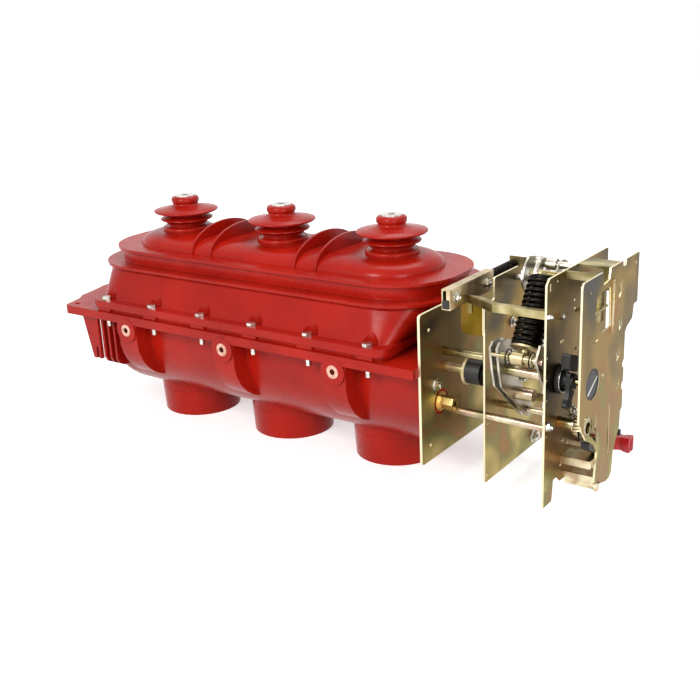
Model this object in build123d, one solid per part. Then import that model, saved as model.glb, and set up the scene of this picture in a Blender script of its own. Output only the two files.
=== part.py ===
from build123d import *
import math
import os

os.makedirs("parts", exist_ok=True)

# Three-phase load-break switch module of a ring main unit, in millimetres.
# X runs along the row of phases towards the spring mechanism, the front is -Y and +Z is up.
# The origin is the centre of the middle cable outlet, in the plane of the outlet rims.

# Row of phases
phase_pitch = 210.0
phase_x = (-phase_pitch, 0.0, phase_pitch)
side_names = ("left", "middle", "right")

# Cable outlets: open collars below the tank
outlet_rim_r = 66.8
outlet_root_r = 72.0
outlet_root_z = 110.0
collar_h = 45.0
cup_r = 54.0
contact_r = 20.0
contact_t = 14.0
contact_hole_depth = 12.0

# Lower tank: a trough and a bolted flange
trough_half_w = 132.0
trough_corner_r = 118.0
trough_bottom_z = 47.0
trough_left_x = -322.0
trough_end_r = 44.0
relief_length = 34.0
relief_top_z = 68.0
tank_right_x = 345.0
flange_z = 192.5
flange_t = 14.0
flange_half_w = 165.0
flange_corner_x = -356.0
flange_nose_x = -398.0
flange_corner_r = 8.0
ear_hole_x = -343.0
ear_hole_half_pitch = 148.0
ear_hole_r = 4.5

# Side bosses under the flange with their steel inserts
boss_face_y = 166.0
boss_z = 182.0
boss_r = 20.5
rib_face_y = 162.5
rib_front_r = 76.0
rib_bend_z = 165.0
insert_r = 10.0
insert_hole_r = 4.5
insert_length = 22.0
insert_floor = 4.0

# Fins and cheek plate under the left end of the flange
cheek_x0 = -333.0
cheek_x1 = -296.0
cheek_t = 6.0
cheek_front_y = 150.0
cheek_foot_z = 114.0
cheek_notch_x = -307.0
cheek_notch_w = 5.0
cheek_notch_h = 20.0
fin_xs = (-290.0, -276.0, -262.0)
fin_t = 5.0
fin_root_y = 60.0
fin_foot_z = 104.0
fin_front_y = 146.0
fin_corner = 14.0

# Cover: seat, bolted flange, sloping wall, two rims and a crown
seat_gap = 6.0
seat_setback = 24.0
seat_corner_r = 10.0
cover_flange_t = 12.0
cover_half_l = 295.0
cover_half_w = 162.0
cover_corner_r = 22.0
wall_foot_half_l = 291.0
wall_foot_half_w = 145.0
wall_foot_r = 28.0
wall_top_half_l = 331.0
wall_top_half_w = 118.0
wall_top_r = 92.0
lower_rim_z = 272.0
lower_rim_t = 5.0
lower_rim_half_l = 340.0
lower_rim_half_w = 127.0
lower_rim_r = 100.0
neck_half_l = 322.0
neck_half_w = 101.0
neck_r = 92.0
upper_rim_z = 296.0
upper_rim_t = 5.0
upper_rim_half_l = 328.6
upper_rim_half_w = 107.8
upper_rim_r = 96.3
crown_half_l = 287.0
crown_half_w = 80.0
crown_mid_half_l = 273.0
crown_mid_half_w = 64.0
crown_top_half_l = 252.0
crown_top_half_w = 43.0
crown_h = 20.0

# Arched ribs on the crown, two between neighbouring bushings
rib_gap_half = 20.0
rib_t = 4.0
rib_half_w = 84.0
rib_apex_h = 43.0

# Cover bolts
bolt_count = 6
bolt_pitch = 105.0
bolt_y = 152.0
bolt_shank_r = 4.0
bolt_head_r = 7.5
bolt_head_h = 5.5
bolt_tail = 13.0
bolt_recess_r = 16.5
pad_half_w = 14.0

# Bushings: radii and heights of the sheds above the upper rim
bushing_ring_z = 318.0
bushing_ring_r = 40.0
bushing_ring_t = 8.0
bushing_neck_r = 29.0
shed_low_z = 336.0
shed_low_r = 44.0
shed_high_z = 350.0
shed_high_r = 53.8
shed_edge_t = 2.6
shed_rise = 7.0
cap_r = 23.0
cap_waist_r = 21.0
cap_top_z = 377.0
terminal_r = 16.5
terminal_top_z = 378.7
terminal_depth = 30.0
terminal_hole_r = 5.1
terminal_hole_depth = 24.0

# Filling valve and plate bolts on the end of the tank
valve_y = -98.0
valve_z = 141.0
valve_hole_r = 19.0
valve_washer_r = 14.5
valve_hex_r = 8.5
valve_reach = 26.0
valve_bore_r = 4.0
valve_bore_depth = 16.0
plate_bolt_y = 114.5
plate_bolt_z = 171.9
plate_bolt_r = 4.0
plate_bolt_head_r = 6.5
plate_bolt_head_h = 6.0
plate_washer_r = 9.5
plate_washer_t = 2.0

# Mechanism frame: four plates across X
sheet_t = 3.0
mount_plate_t = 4.0
mount_plate_x = tank_right_x
mount_front_y = -152.0
mount_rear_y = 150.0
mount_top_z = 281.0
mount_foot_z = 62.0
mount_corner_r = 5.0
mount_hole_r = 2.5
mount_holes = ((-127.0, 254.0), (-126.0, 84.0))
middle_plate_x = 413.0
middle_front_y = -94.0
middle_rear_y = 92.0
middle_foot_z = 28.0
flag_x0 = 379.0
flag_z0 = 245.0
flag_top_z = 290.5
flag_corner_r = 10.0
middle_top_z = 320.6
middle_top_front_y = -66.0
bearing_plate_x = 528.0
bearing_front_y = -150.0
bearing_rear_y = 43.0
bearing_top_z = 350.7
front_plate_x = 573.0
front_plate_front_y = -147.3
front_plate_rear_y = 38.6
front_plate_strip_y = -2.4
front_plate_top_z = 350.4
running_clearance = 0.05

# Main shaft, its bearing and the position disc in the round hole of the front plate
shaft_y = -108.5
shaft_z = 210.4
shaft_r = 7.5
bearing_ring_r = 18.5
bearing_ring_t = 9.0
disc_r = 20.0
disc_t = 4.0
disc_front_x = 575.0
disc_hole_r = 21.0
latch_t = 4.0

# Carrier plates, lever plate and the pin under the main spring
carrier_xs = (443.0, 453.0)
carrier_t = 3.0
lever_x = 512.0
spring_pin_y = -131.0
spring_pin_z = 237.0
spring_pin_r = 5.5
spring_pin_tip_r = 3.0
spring_pin_step_x = 460.0
spring_pin_end_x = 519.0
carrier_pin_y = -46.0
carrier_pin_z = 132.0
carrier_pin_r = 5.0

# Main spring and its two seats
spring_x = 484.0
spring_foot = (-109.0, 245.0)
spring_lean_deg = 64.0
spring_r = 21.0
spring_wire_r = 3.0
spring_pitch = 7.4
spring_turns = 8
seat_plate_t = 4.0
seat_lug_half_w = 7.0
seat_pin_r = 4.5
seat_pin_rise = 12.0

# Drive hub and rods between the plates
tie_r = 5.5
tie_y = -88.0
tie_z = 128.0
roller_y = -90.0
roller_z = 214.3
roller_r = 6.0
hub_y = -80.0
hub_z = 187.0
hub_r = 17.5
hub_x0 = 385.0
hub_x1 = 407.0
hub_boss_r = 9.0
drum_y = -78.0
drum_z = 167.0
drum_r = 9.0
drum_x1 = 482.0
spacer_r = 6.0
rear_tie = (70.0, 60.0)
back_tie = (30.0, 120.0)
front_spacers = ((30.0, 300.0), (-36.0, 100.0))

# Lower operating shaft
handle_shaft_y = -108.0
handle_shaft_z = 150.0
handle_shaft_r = 8.0
handle_socket_r = 15.0
handle_flutes = 12
handle_flute_r = 1.6
handle_hex_r = 9.0
handle_opening_r = 22.0
handle_socket_x0 = 547.0
handle_socket_x1 = 577.0
handle_shaft_x0 = 516.0

# Spring channel on the flange of the middle plate, return spring and its post
channel_x0 = 377.0
channel_x1 = 390.0
channel_front_y = -141.0
channel_rear_y = -20.0
channel_top_z = 318.5
channel_t = 2.0
channel_lip_w = 6.0
channel_screws = ((-125.7, 305.0), (-39.4, 304.0))
return_spring_r = 7.5
return_wire_r = 1.2
return_pitch = 4.0
return_turns = 19
return_spring_x = 383.5
return_spring_z = 309.0
post_w = 12.0
post_foot_z = 240.0
post_top_z = 320.0
post_arm_z = 300.0

# Top bar of channel section
bar_z0 = 290.0
bar_z1 = 301.0
bar_t = 2.0
bar_depth = 9.0
bar_front_y = -120.0
bar_start_x = 391.0
bar_bend_x = 440.0
bar_tab_w = 6.0
bar_tab_z = 276.0

# Screws on the mechanism
screw_r = 3.2
screw_h = 3.0
bearing_screws = ((-145.8, 303.0), (-109.2, 294.0))
stud_y = -142.6
stud_z = 156.0
stud_h = 9.0

# Brackets between the bearing plate and the front plate
hook_y0 = -58.0
hook_y1 = -22.0
hook_z = 347.4
hook_leg_x = 565.0
hook_leg_z = 331.0
flat_bar_y = -96.0
flat_bar_z0 = 340.0
flat_bar_z1 = 350.0
floor_y0 = -88.0
floor_y1 = -40.0
floor_z = 60.0
lip_top_z = 72.0
floor_bar_y = -84.0
floor_bar_gap = 12.0
floor_bar_h = 10.0
slider_y0 = -53.0
slider_y1 = -43.5
slider_z0 = 262.0
slider_z1 = 334.0
slider_corner_r = 2.0

# Push button beside the front plate
button_x0 = 558.0
button_y = 16.5
button_z = 82.0
button_size = (27.0, 13.0, 20.0)
button_corner_r = 2.5
button_stem_r = 4.0
button_stem_tail = 16.0


def slab(half_l, half_w, corner_r, z0, height):
    """Rounded rectangular slab centred on the row of phases."""
    outline = RectangleRounded(2 * half_l, 2 * half_w, corner_r)
    return extrude(Pos(0, 0, z0) * outline, height)


def yz_place(x0):
    """Drawing plane across X, its own axes along +Y and +Z."""
    return Plane((x0, 0, 0), x_dir=(0, 1, 0), z_dir=(1, 0, 0))


def outline_of(points, corner_r=0.0):
    """Closed face through the points, with its corners rounded."""
    outline = make_face(Polyline(*points, close=True).edges())
    if corner_r:
        outline = fillet(outline.vertices(), corner_r)
    return outline


def yz_plate(points, x0, thickness, corner_r=0.0):
    """Flat plate across X from its (y, z) outline."""
    return extrude(yz_place(x0) * outline_of(points, corner_r), thickness)


def xy_plate(points, z0, thickness, corner_r=0.0):
    """Flat level plate from its (x, y) outline."""
    return extrude(Pos(0, 0, z0) * outline_of(points, corner_r), thickness)


def x_rod(x0, x1, y, z, radius):
    """Round rod along X."""
    place = Plane((x0, y, z), x_dir=(0, 1, 0), z_dir=(1, 0, 0))
    return extrude(place * Circle(radius), x1 - x0)


def y_rod(y0, y1, x, z, radius):
    """Round rod along Y."""
    place = Plane((x, y0, z), x_dir=(1, 0, 0), z_dir=(0, 1, 0))
    return extrude(place * Circle(radius), y1 - y0)


def z_rod(z0, z1, x, y, radius):
    """Round rod along Z."""
    return extrude(Pos(x, y, z0) * Circle(radius), z1 - z0)


def x_hex(x0, x1, y, z, inner_r):
    """Hexagonal bar along X, given half its width across the flats."""
    place = Plane((x0, y, z), x_dir=(0, 1, 0), z_dir=(1, 0, 0))
    return extrude(place * RegularPolygon(inner_r, 6, major_radius=False), x1 - x0)


def block(x0, x1, y0, y1, z0, z1):
    """Rectangular block from its limits."""
    size = (x1 - x0, y1 - y0, z1 - z0)
    return Pos((x0 + x1) / 2, (y0 + y1) / 2, (z0 + z1) / 2) * Box(*size)


def turned(profile, x, y):
    """Solid of revolution about a vertical axis from (radius, height) points."""
    return Pos(x, y, 0) * revolve(Plane.XZ * outline_of(profile), Axis.Z)


def side_rod(side, inner_y, outer_y, x, z, radius):
    """Round rod along Y on one side of the row, from its distances to the middle plane."""
    limits = sorted((side * inner_y, side * outer_y))
    return y_rod(limits[0], limits[1], x, z, radius)


def bolt_xs():
    """Places of the cover bolts along one long side."""
    start = -bolt_pitch * (bolt_count - 1) / 2
    return [start + bolt_pitch * k for k in range(bolt_count)]


def outlet_r(z):
    """Outer radius of the tapered cable outlets at a height."""
    return outlet_rim_r + (outlet_root_r - outlet_rim_r) * z / outlet_root_z


def trough():
    """Long body of the tank with a round bottom and a rounded left end."""
    height = flange_z - trough_bottom_z
    outline = Pos(0, (flange_z + trough_bottom_z) / 2) * Rectangle(2 * trough_half_w, height)
    lower = outline.vertices().sort_by(Axis.Y)[0:2]
    outline = fillet(lower, trough_corner_r)
    body = extrude(yz_place(trough_left_x) * outline, tank_right_x - trough_left_x)
    left_face = body.faces().sort_by(Axis.X)[0]
    rim_edges = [e for e in left_face.edges() if e.center().Z < flange_z - 1.0]
    return fillet(rim_edges, trough_end_r)


def tank_flange():
    """Flange of the tank with its blunt nose on the left."""
    w = flange_half_w
    nose = [
        (flange_corner_x - 12, -0.74 * w),
        (flange_corner_x - 24, -0.64 * w),
        (flange_corner_x - 30, -0.45 * w),
        (flange_nose_x + 3, -0.26 * w),
        (flange_nose_x, 0.0),
    ]
    front = [(tank_right_x, -w), (flange_corner_x, -w)] + nose
    rear = [(x, -y) for x, y in reversed(front[:-1])]
    outline = outline_of(front + rear)
    corners = [v for v in outline.vertices() if abs(v.X - flange_corner_x) < 1.0]
    body = extrude(Pos(0, 0, flange_z) * fillet(corners, flange_corner_r), flange_t)
    for side in (-1, 1):
        body -= z_rod(flange_z - 1, flange_z + flange_t + 1, ear_hole_x, side * ear_hole_half_pitch, ear_hole_r)
    return body


def boss_rib(x, side):
    """Boss for a side insert, on a rib with a round front that dies out down the trough."""
    axis_y = rib_face_y - rib_front_r
    slant = rib_front_r * math.sqrt(0.5)
    foot = (side * axis_y, rib_bend_z - rib_front_r)
    bend = (side * rib_face_y, rib_bend_z)
    middle = (side * (axis_y + slant), rib_bend_z - slant)
    straight = Polyline(foot, (side * axis_y, flange_z), (side * rib_face_y, flange_z), bend)
    front = ThreePointArc(bend, middle, foot)
    outline = make_face(straight.edges() + front.edges())
    rib = extrude(yz_place(x - boss_r) * outline, 2 * boss_r)
    return rib + side_rod(side, axis_y, boss_face_y, x, boss_z, boss_r)


def cheek(side):
    """Notched cheek plate beside the fins."""
    notch_right = cheek_notch_x + cheek_notch_w
    notch_top = cheek_foot_z + cheek_notch_h
    points = [
        (cheek_x0, flange_z),
        (cheek_x1, flange_z),
        (cheek_x1, cheek_foot_z),
        (notch_right, cheek_foot_z),
        (notch_right, notch_top),
        (cheek_notch_x, notch_top),
        (cheek_notch_x, cheek_foot_z),
        (cheek_notch_x - 8, cheek_foot_z),
    ]
    rear_y = cheek_front_y if side > 0 else -cheek_front_y + cheek_t
    place = Plane((0, rear_y, 0), x_dir=(1, 0, 0), z_dir=(0, -1, 0))
    return extrude(place * outline_of(points), cheek_t)


def fin(x, side):
    """Thin fin between the trough and the line of the cheek plate."""
    points = [
        (side * fin_root_y, flange_z),
        (side * fin_front_y, flange_z),
        (side * fin_front_y, fin_foot_z + fin_corner),
        (side * (fin_front_y - fin_corner / 3), fin_foot_z + fin_corner / 3),
        (side * (fin_front_y - fin_corner), fin_foot_z),
        (side * fin_root_y, fin_foot_z),
    ]
    return yz_plate(points, x - fin_t / 2, fin_t)


def end_relief():
    """Wedge cut from the bottom of the trough where it meets the mounting plate."""
    z0 = trough_bottom_z - 1
    points = [(tank_right_x + 1, z0), (tank_right_x - relief_length, z0), (tank_right_x + 1, relief_top_z)]
    place = Plane((0, trough_half_w + 1, 0), x_dir=(1, 0, 0), z_dir=(0, -1, 0))
    return extrude(place * outline_of(points), 2 * trough_half_w + 2)


def lower_tank():
    """Cast lower half: trough, flange, outlet roots, bosses and end fins in one piece."""
    body = trough() + tank_flange()
    root_h = outlet_root_z - collar_h
    for x in phase_x:
        root = Cone(outlet_r(collar_h), outlet_root_r, root_h, align=(Align.CENTER, Align.CENTER, Align.MIN))
        body += Pos(x, 0, collar_h) * root
    for side in (-1, 1):
        for x in phase_x:
            body += boss_rib(x, side)
        body += cheek(side)
        for x in fin_xs:
            body += fin(x, side)
    for x in phase_x:
        body -= z_rod(collar_h - 1, collar_h + contact_t, x, 0, contact_r)
        for side in (-1, 1):
            body -= side_rod(side, boss_face_y - insert_length, boss_face_y + 1, x, boss_z, insert_r)
    for x in bolt_xs():
        for y in (-bolt_y, bolt_y):
            body -= z_rod(flange_z - 1, flange_z + flange_t + 1, x, y, bolt_shank_r)
    return body - end_relief()


def outlet_collar(x):
    """Open collar of a cable outlet."""
    cone = Cone(outlet_rim_r, outlet_r(collar_h), collar_h, align=(Align.CENTER, Align.CENTER, Align.MIN))
    return Pos(x, 0, 0) * cone - z_rod(-1, collar_h + 1, x, 0, cup_r)


def outlet_contacts():
    """Tapped contacts in the ceilings of the cable outlets."""
    contacts = []
    for x in phase_x:
        body = z_rod(collar_h, collar_h + contact_t, x, 0, contact_r)
        contacts.append(body - z_rod(collar_h - 1, collar_h + contact_hole_depth, x, 0, terminal_hole_r))
    return contacts


def bushing(x):
    """Ribbed bushing with two sheds, a ring and a cap, seated in the crown of the cover."""
    seat_z = upper_rim_z + upper_rim_t
    ring_top_z = bushing_ring_z + bushing_ring_t
    profile = [
        (0, seat_z),
        (bushing_ring_r, seat_z),
        (bushing_ring_r, ring_top_z - 2),
        (bushing_ring_r - 2, ring_top_z),
        (bushing_neck_r, ring_top_z),
        (bushing_neck_r, shed_low_z - shed_edge_t - 2),
        (shed_low_r, shed_low_z - shed_edge_t),
        (shed_low_r, shed_low_z),
        (bushing_neck_r, shed_low_z + 4),
        (bushing_neck_r, shed_high_z - shed_edge_t - 3),
        (shed_high_r, shed_high_z - shed_edge_t),
        (shed_high_r, shed_high_z),
        (cap_waist_r, shed_high_z + shed_rise),
        (cap_r, shed_high_z + shed_rise + 5),
        (cap_r, cap_top_z - 4),
        (cap_r - 4, cap_top_z),
        (0, cap_top_z),
    ]
    return turned(profile, x, 0) - z_rod(terminal_top_z - terminal_depth, cap_top_z + 1, x, 0, terminal_r)


def arch_rib(x):
    """Thin arched rib across the crown."""
    keep = Pos(0, rib_apex_h) * Rectangle(2 * rib_half_w + 2, 2 * rib_apex_h)
    outline = Ellipse(rib_half_w, rib_apex_h) & keep
    place = Plane((x - rib_t / 2, 0, upper_rim_z + upper_rim_t - 1), x_dir=(0, 1, 0), z_dir=(1, 0, 0))
    return extrude(place * outline, rib_t)


def seat_top_z():
    """Height at which the cover flange begins."""
    return flange_z + flange_t + seat_gap


def cover_wall():
    """Sloping wall from the bolted flange up to the lower rim, with a round recess behind each bolt."""
    head_z = seat_top_z() + cover_flange_t
    foot = RectangleRounded(2 * wall_foot_half_l, 2 * wall_foot_half_w, wall_foot_r)
    top = RectangleRounded(2 * wall_top_half_l, 2 * wall_top_half_w, wall_top_r)
    wall = loft([Pos(0, 0, head_z - 0.5) * foot, Pos(0, 0, lower_rim_z + 1) * top])
    for x in bolt_xs():
        for y in (-bolt_y, bolt_y):
            wall -= z_rod(head_z, lower_rim_z, x, y, bolt_recess_r)
    return wall


def crown():
    """Softly domed crown that carries the bushings and ribs."""
    crown_z = upper_rim_z + upper_rim_t - 0.5
    sizes = [
        (crown_half_l, crown_half_w, 0.0),
        (crown_mid_half_l, crown_mid_half_w, 0.62),
        (crown_top_half_l, crown_top_half_w, 1.0),
    ]
    rings = []
    for half_l, half_w, share in sizes:
        rings.append(Pos(0, 0, crown_z + share * crown_h) * RectangleRounded(2 * half_l, 2 * half_w, half_w - 2))
    return loft(rings[:2], ruled=True) + loft(rings[1:], ruled=True)


def bolt_pad(x, side):
    """Pad under the cover flange at a bolt."""
    limits = sorted((side * (cover_half_w - seat_setback - 2), side * (cover_half_w - 1)))
    return block(x - pad_half_w, x + pad_half_w, limits[0], limits[1], flange_z + flange_t, seat_top_z() + 1)


def upper_shell():
    """Cast cover with its rims, crown and arched ribs, bored for the three bushings."""
    seat_z = flange_z + flange_t
    body = slab(cover_half_l - seat_setback, cover_half_w - seat_setback, seat_corner_r, seat_z, seat_gap + 1)
    body += slab(cover_half_l, cover_half_w, cover_corner_r, seat_top_z(), cover_flange_t)
    for x in bolt_xs():
        for side in (-1, 1):
            body += bolt_pad(x, side)
    body += cover_wall()
    body += slab(lower_rim_half_l, lower_rim_half_w, lower_rim_r, lower_rim_z, lower_rim_t)
    body += slab(neck_half_l, neck_half_w, neck_r, lower_rim_z + lower_rim_t - 1, upper_rim_z - lower_rim_z)
    body += slab(upper_rim_half_l, upper_rim_half_w, upper_rim_r, upper_rim_z, upper_rim_t)
    body += crown()
    for x in (-phase_pitch / 2, phase_pitch / 2):
        for offset in (-rib_gap_half, rib_gap_half):
            body += arch_rib(x + offset)
    for x in phase_x:
        body -= z_rod(upper_rim_z + upper_rim_t, cap_top_z, x, 0, bushing_ring_r)
    for x in bolt_xs():
        for y in (-bolt_y, bolt_y):
            body -= z_rod(seat_z - 1, seat_top_z() + cover_flange_t + 1, x, y, bolt_shank_r)
    return body


def top_terminal(x):
    """Tapped metal terminal cast into the top of a bushing."""
    body = z_rod(terminal_top_z - terminal_depth, terminal_top_z, x, 0, terminal_r)
    return body - z_rod(terminal_top_z - terminal_hole_depth, terminal_top_z + 1, x, 0, terminal_hole_r)


def cover_bolts(side):
    """Row of cover bolts, their tails showing under the tank flange."""
    head_z = seat_top_z() + cover_flange_t
    bolts = []
    for x in bolt_xs():
        y = side * bolt_y
        shank = z_rod(flange_z - bolt_tail, head_z, x, y, bolt_shank_r)
        head = extrude(Pos(x, y, head_z) * RegularPolygon(bolt_head_r, 6), bolt_head_h)
        bolts.append(shank + head)
    return bolts


def side_inserts(side):
    """Steel bushes in the side bosses."""
    rings = []
    for x in phase_x:
        ring = side_rod(side, boss_face_y - insert_length, boss_face_y, x, boss_z, insert_r)
        bore_foot = boss_face_y - insert_length + insert_floor
        rings.append(ring - side_rod(side, bore_foot, boss_face_y + 1, x, boss_z, insert_hole_r))
    return rings


def gas_valve():
    """Brass filling valve on the end of the tank, seen through a hole in the mounting plate."""
    washer_x = tank_right_x + mount_plate_t
    tip_x = tank_right_x + valve_reach
    washer = x_rod(tank_right_x, washer_x, valve_y, valve_z, valve_washer_r)
    stem = x_hex(washer_x, tip_x, valve_y, valve_z, valve_hex_r)
    return washer + stem - x_rod(tip_x - valve_bore_depth, tip_x + 1, valve_y, valve_z, valve_bore_r)


def mounting_plate():
    """Plate that carries the mechanism on the end of the tank."""
    points = [
        (mount_front_y, mount_foot_z),
        (mount_rear_y, mount_foot_z),
        (mount_rear_y, mount_top_z),
        (mount_front_y, mount_top_z),
    ]
    body = yz_plate(points, mount_plate_x, mount_plate_t, mount_corner_r)
    x0 = mount_plate_x - 1
    x1 = mount_plate_x + mount_plate_t + 1
    body -= x_rod(x0, x1, valve_y, valve_z, valve_hole_r)
    for y in (-plate_bolt_y, plate_bolt_y):
        body -= x_rod(x0, x1, y, plate_bolt_z, plate_bolt_r)
    for y, z in mount_holes:
        body -= x_rod(x0, x1, y, z, mount_hole_r)
    return body


def plate_bolts():
    """Hexagon bolts that hold the mounting plate to the tank."""
    bolts = []
    face = mount_plate_x + mount_plate_t
    head_x = face + plate_washer_t
    for y in (-plate_bolt_y, plate_bolt_y):
        shank = x_rod(mount_plate_x, face, y, plate_bolt_z, plate_bolt_r)
        washer = x_rod(face, head_x, y, plate_bolt_z, plate_washer_r)
        head = x_hex(head_x, head_x + plate_bolt_head_h, y, plate_bolt_z, plate_bolt_head_r)
        bolts.append(shank + washer + head)
    return bolts


def middle_plate():
    """Middle plate of the frame with a flange bent towards the mounting plate."""
    points = [
        (middle_front_y, middle_foot_z),
        (middle_rear_y, middle_foot_z),
        (middle_rear_y, 262.0),
        (36.0, 266.0),
        (7.0, middle_top_z),
        (middle_top_front_y, middle_top_z),
        (middle_top_front_y, flag_top_z),
        (middle_front_y, flag_top_z),
    ]
    body = yz_plate(points, middle_plate_x, sheet_t)
    flag = [
        (flag_x0, flag_top_z),
        (flag_x0, flag_z0 + flag_corner_r),
        (flag_x0 + flag_corner_r, flag_z0),
        (middle_plate_x + sheet_t, flag_z0),
        (middle_plate_x + sheet_t, flag_top_z),
    ]
    place = Plane((0, middle_front_y + sheet_t, 0), x_dir=(1, 0, 0), z_dir=(0, -1, 0))
    return body + extrude(place * outline_of(flag), sheet_t)


def bearing_plate():
    """Tall plate that carries the bearing of the main shaft."""
    front = bearing_front_y
    points = [
        (front, 43.0),
        (front + 25, 43.0),
        (front + 29, 72.0),
        (front + 39, 72.0),
        (front + 49, 62.0),
        (front + 72, 61.0),
        (front + 76, 48.0),
        (front + 84, 42.0),
        (bearing_rear_y, 38.0),
        (bearing_rear_y, bearing_top_z),
        (front + 8, bearing_top_z),
        (front, bearing_top_z - 7),
    ]
    body = yz_plate(points, bearing_plate_x, sheet_t)
    x0 = bearing_plate_x - 1
    x1 = bearing_plate_x + sheet_t + 1
    body -= x_rod(x0, x1, shaft_y, shaft_z, shaft_r + running_clearance)
    body -= x_rod(x0, x1, handle_shaft_y, handle_shaft_z, handle_shaft_r + running_clearance)
    body -= x_rod(x0, x1, button_y, button_z, button_stem_r + running_clearance)
    return body


def handle_opening(x0, length):
    """Round opening around the handle socket, open to the lower front corner of the plate."""
    y, z, r = handle_shaft_y, handle_shaft_z, handle_opening_r
    reach = front_plate_front_y - 2
    mouth = [(reach, z), (y, z), (y + 0.6 * r, z - 0.9 * r), (-98.0, 104.0), (-92.0, 60.0), (reach, 60.0)]
    return x_rod(x0, x0 + length, y, z, r) + yz_plate(mouth, x0, length)


def front_plate_outline():
    """Outline of the front plate, clockwise from its lower front corner."""
    strip = front_plate_strip_y
    front = front_plate_front_y
    rear = front_plate_rear_y
    top = front_plate_top_z
    foot = [(front, 168.0), (front + 8, 161.0), (front + 11, 150.0), (front + 11, 120.0), (-91.0, 66.0)]
    heel = [(-75.0, 62.0), (-38.0, 46.0), (-31.0, 50.0), (-22.0, 100.0), (strip - 7, 117.0)]
    bites = [(strip - 6, 139.0), (strip, 143.0), (strip, 168.0), (strip - 5, 171.0), (strip - 5, 178.0), (strip, 181.0)]
    upper_bite = [(strip, 200.0), (strip - 5, 203.0), (strip - 5, 209.0), (strip, 212.0), (strip, 250.0)]
    step = [(4.0, 256.3), (22.0, 263.0), (26.0, 281.6), (rear, 282.0), (rear, top)]
    hook = [(-59.0, top), (-62.0, 336.0), (-82.0, 333.0), (-85.0, top)]
    notch = [(-7.0, top), (-8.0, top - 8), (-18.0, top - 8), (-19.0, top)]
    return foot + heel + bites + upper_bite + step + notch + hook + [(front + 4, top), (front, top - 5)]


def front_plate():
    """Front plate with its window, slots, disc hole and hook notch."""
    body = yz_plate(front_plate_outline(), front_plate_x, sheet_t)
    x0 = front_plate_x - 1
    length = sheet_t + 2
    window = [(-94.0, 326.0), (-59.0, 326.0), (-55.0, 272.5), (-89.0, 271.5), (-102.0, 283.0), (-107.0, 302.0)]
    body -= yz_plate(window + [(-106.0, 319.0)], x0, length)
    body -= yz_plate([(-119.0, 266.0), (-96.0, 264.5), (-96.0, 267.0), (-119.0, 268.5)], x0, length)
    for y, z0, z1 in ((-25.0, 303.0, 327.0), (-21.0, 258.0, 278.0), (-25.0, 216.0, 234.0), (-22.5, 176.0, 189.0)):
        body -= yz_plate([(y - 4, z0), (y + 4, z0), (y + 4, z1), (y - 4, z1)], x0, length, 2.0)
    body -= yz_plate([(-52.0, 88.0), (-46.0, 88.0), (-46.0, 160.0), (-52.0, 160.0)], x0, length, 2.0)
    body -= x_rod(x0, x0 + length, -73.0, 209.0, 3.0)
    body -= x_rod(x0, x0 + length, shaft_y, shaft_z, disc_hole_r)
    return body - handle_opening(x0, length)


def main_shaft():
    """Main switching shaft, from the carrier plates to the position disc."""
    return x_rod(carrier_xs[0] - 4, disc_front_x - disc_t, shaft_y, shaft_z, shaft_r)


def indicator_disc():
    """Black position disc in the round hole of the front plate."""
    return x_rod(disc_front_x - disc_t, disc_front_x, shaft_y, shaft_z, disc_r)


def shaft_bearing():
    """Black bearing ring on the face of the bearing plate."""
    x0 = bearing_plate_x + sheet_t
    ring = x_rod(x0, x0 + bearing_ring_t, shaft_y, shaft_z, bearing_ring_r)
    return ring - x_rod(x0 - 1, x0 + bearing_ring_t + 1, shaft_y, shaft_z, shaft_r + running_clearance)


def latch_lever():
    """Black latch lever on the front of the bearing ring."""
    x0 = bearing_plate_x + sheet_t + bearing_ring_t
    dy_dz = [(-8, 32), (10, 35), (18, 10), (26, -16), (28, -38), (16, -42), (8, -24), (-12, -12), (-14, 8)]
    points = [(shaft_y + dy, shaft_z + dz) for dy, dz in dy_dz]
    lever = yz_plate(points, x0, latch_t)
    return lever - x_rod(x0 - 1, x0 + latch_t + 1, shaft_y, shaft_z, shaft_r + running_clearance)


def carrier_plates():
    """Two plates that hold the foot of the main spring, with the main shaft running through them."""
    points = [
        (-135.0, 246.0),
        (-129.0, 214.0),
        (-122.0, 189.0),
        (-79.0, 151.0),
        (-54.0, 128.0),
        (-40.0, 118.0),
        (-28.0, 126.0),
        (-40.0, 148.0),
        (-72.0, 184.0),
        (-82.0, 208.0),
        (-77.0, 235.0),
        (-104.0, 252.0),
        (-127.0, 253.0),
    ]
    plates = []
    for x in carrier_xs:
        x0 = x - 1
        x1 = x + carrier_t + 1
        plate = yz_plate(points, x, carrier_t)
        plate -= x_rod(x0, x1, shaft_y, shaft_z, shaft_r + running_clearance)
        plate -= x_rod(x0, x1, carrier_pin_y, carrier_pin_z, carrier_pin_r)
        if x > carrier_xs[0]:
            plate -= x_rod(x0, x1, spring_pin_y, spring_pin_z, spring_pin_tip_r)
        plates.append(plate)
    return plates


def lever_plate():
    """Pointed plate on the other end of the spring pin."""
    points = [(-131.0, 258.7), (-143.4, 241.2), (-129.2, 213.8), (-116.0, 194.0), (-96.0, 194.0), (-88.0, 216.0)]
    x0 = lever_x - 1
    x1 = lever_x + carrier_t + 1
    plate = yz_plate(points + [(-98.0, 246.0)], lever_x, carrier_t)
    plate -= x_rod(x0, x1, shaft_y, shaft_z, shaft_r + running_clearance)
    return plate - x_rod(x0, x1, spring_pin_y, spring_pin_z, spring_pin_r)


def spring_pin():
    """Stepped pin under the main spring, from the outer carrier plate through the lever plate."""
    tip = x_rod(carrier_xs[0] + carrier_t, spring_pin_step_x, spring_pin_y, spring_pin_z, spring_pin_tip_r)
    return tip + x_rod(spring_pin_step_x, spring_pin_end_x, spring_pin_y, spring_pin_z, spring_pin_r)


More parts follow.
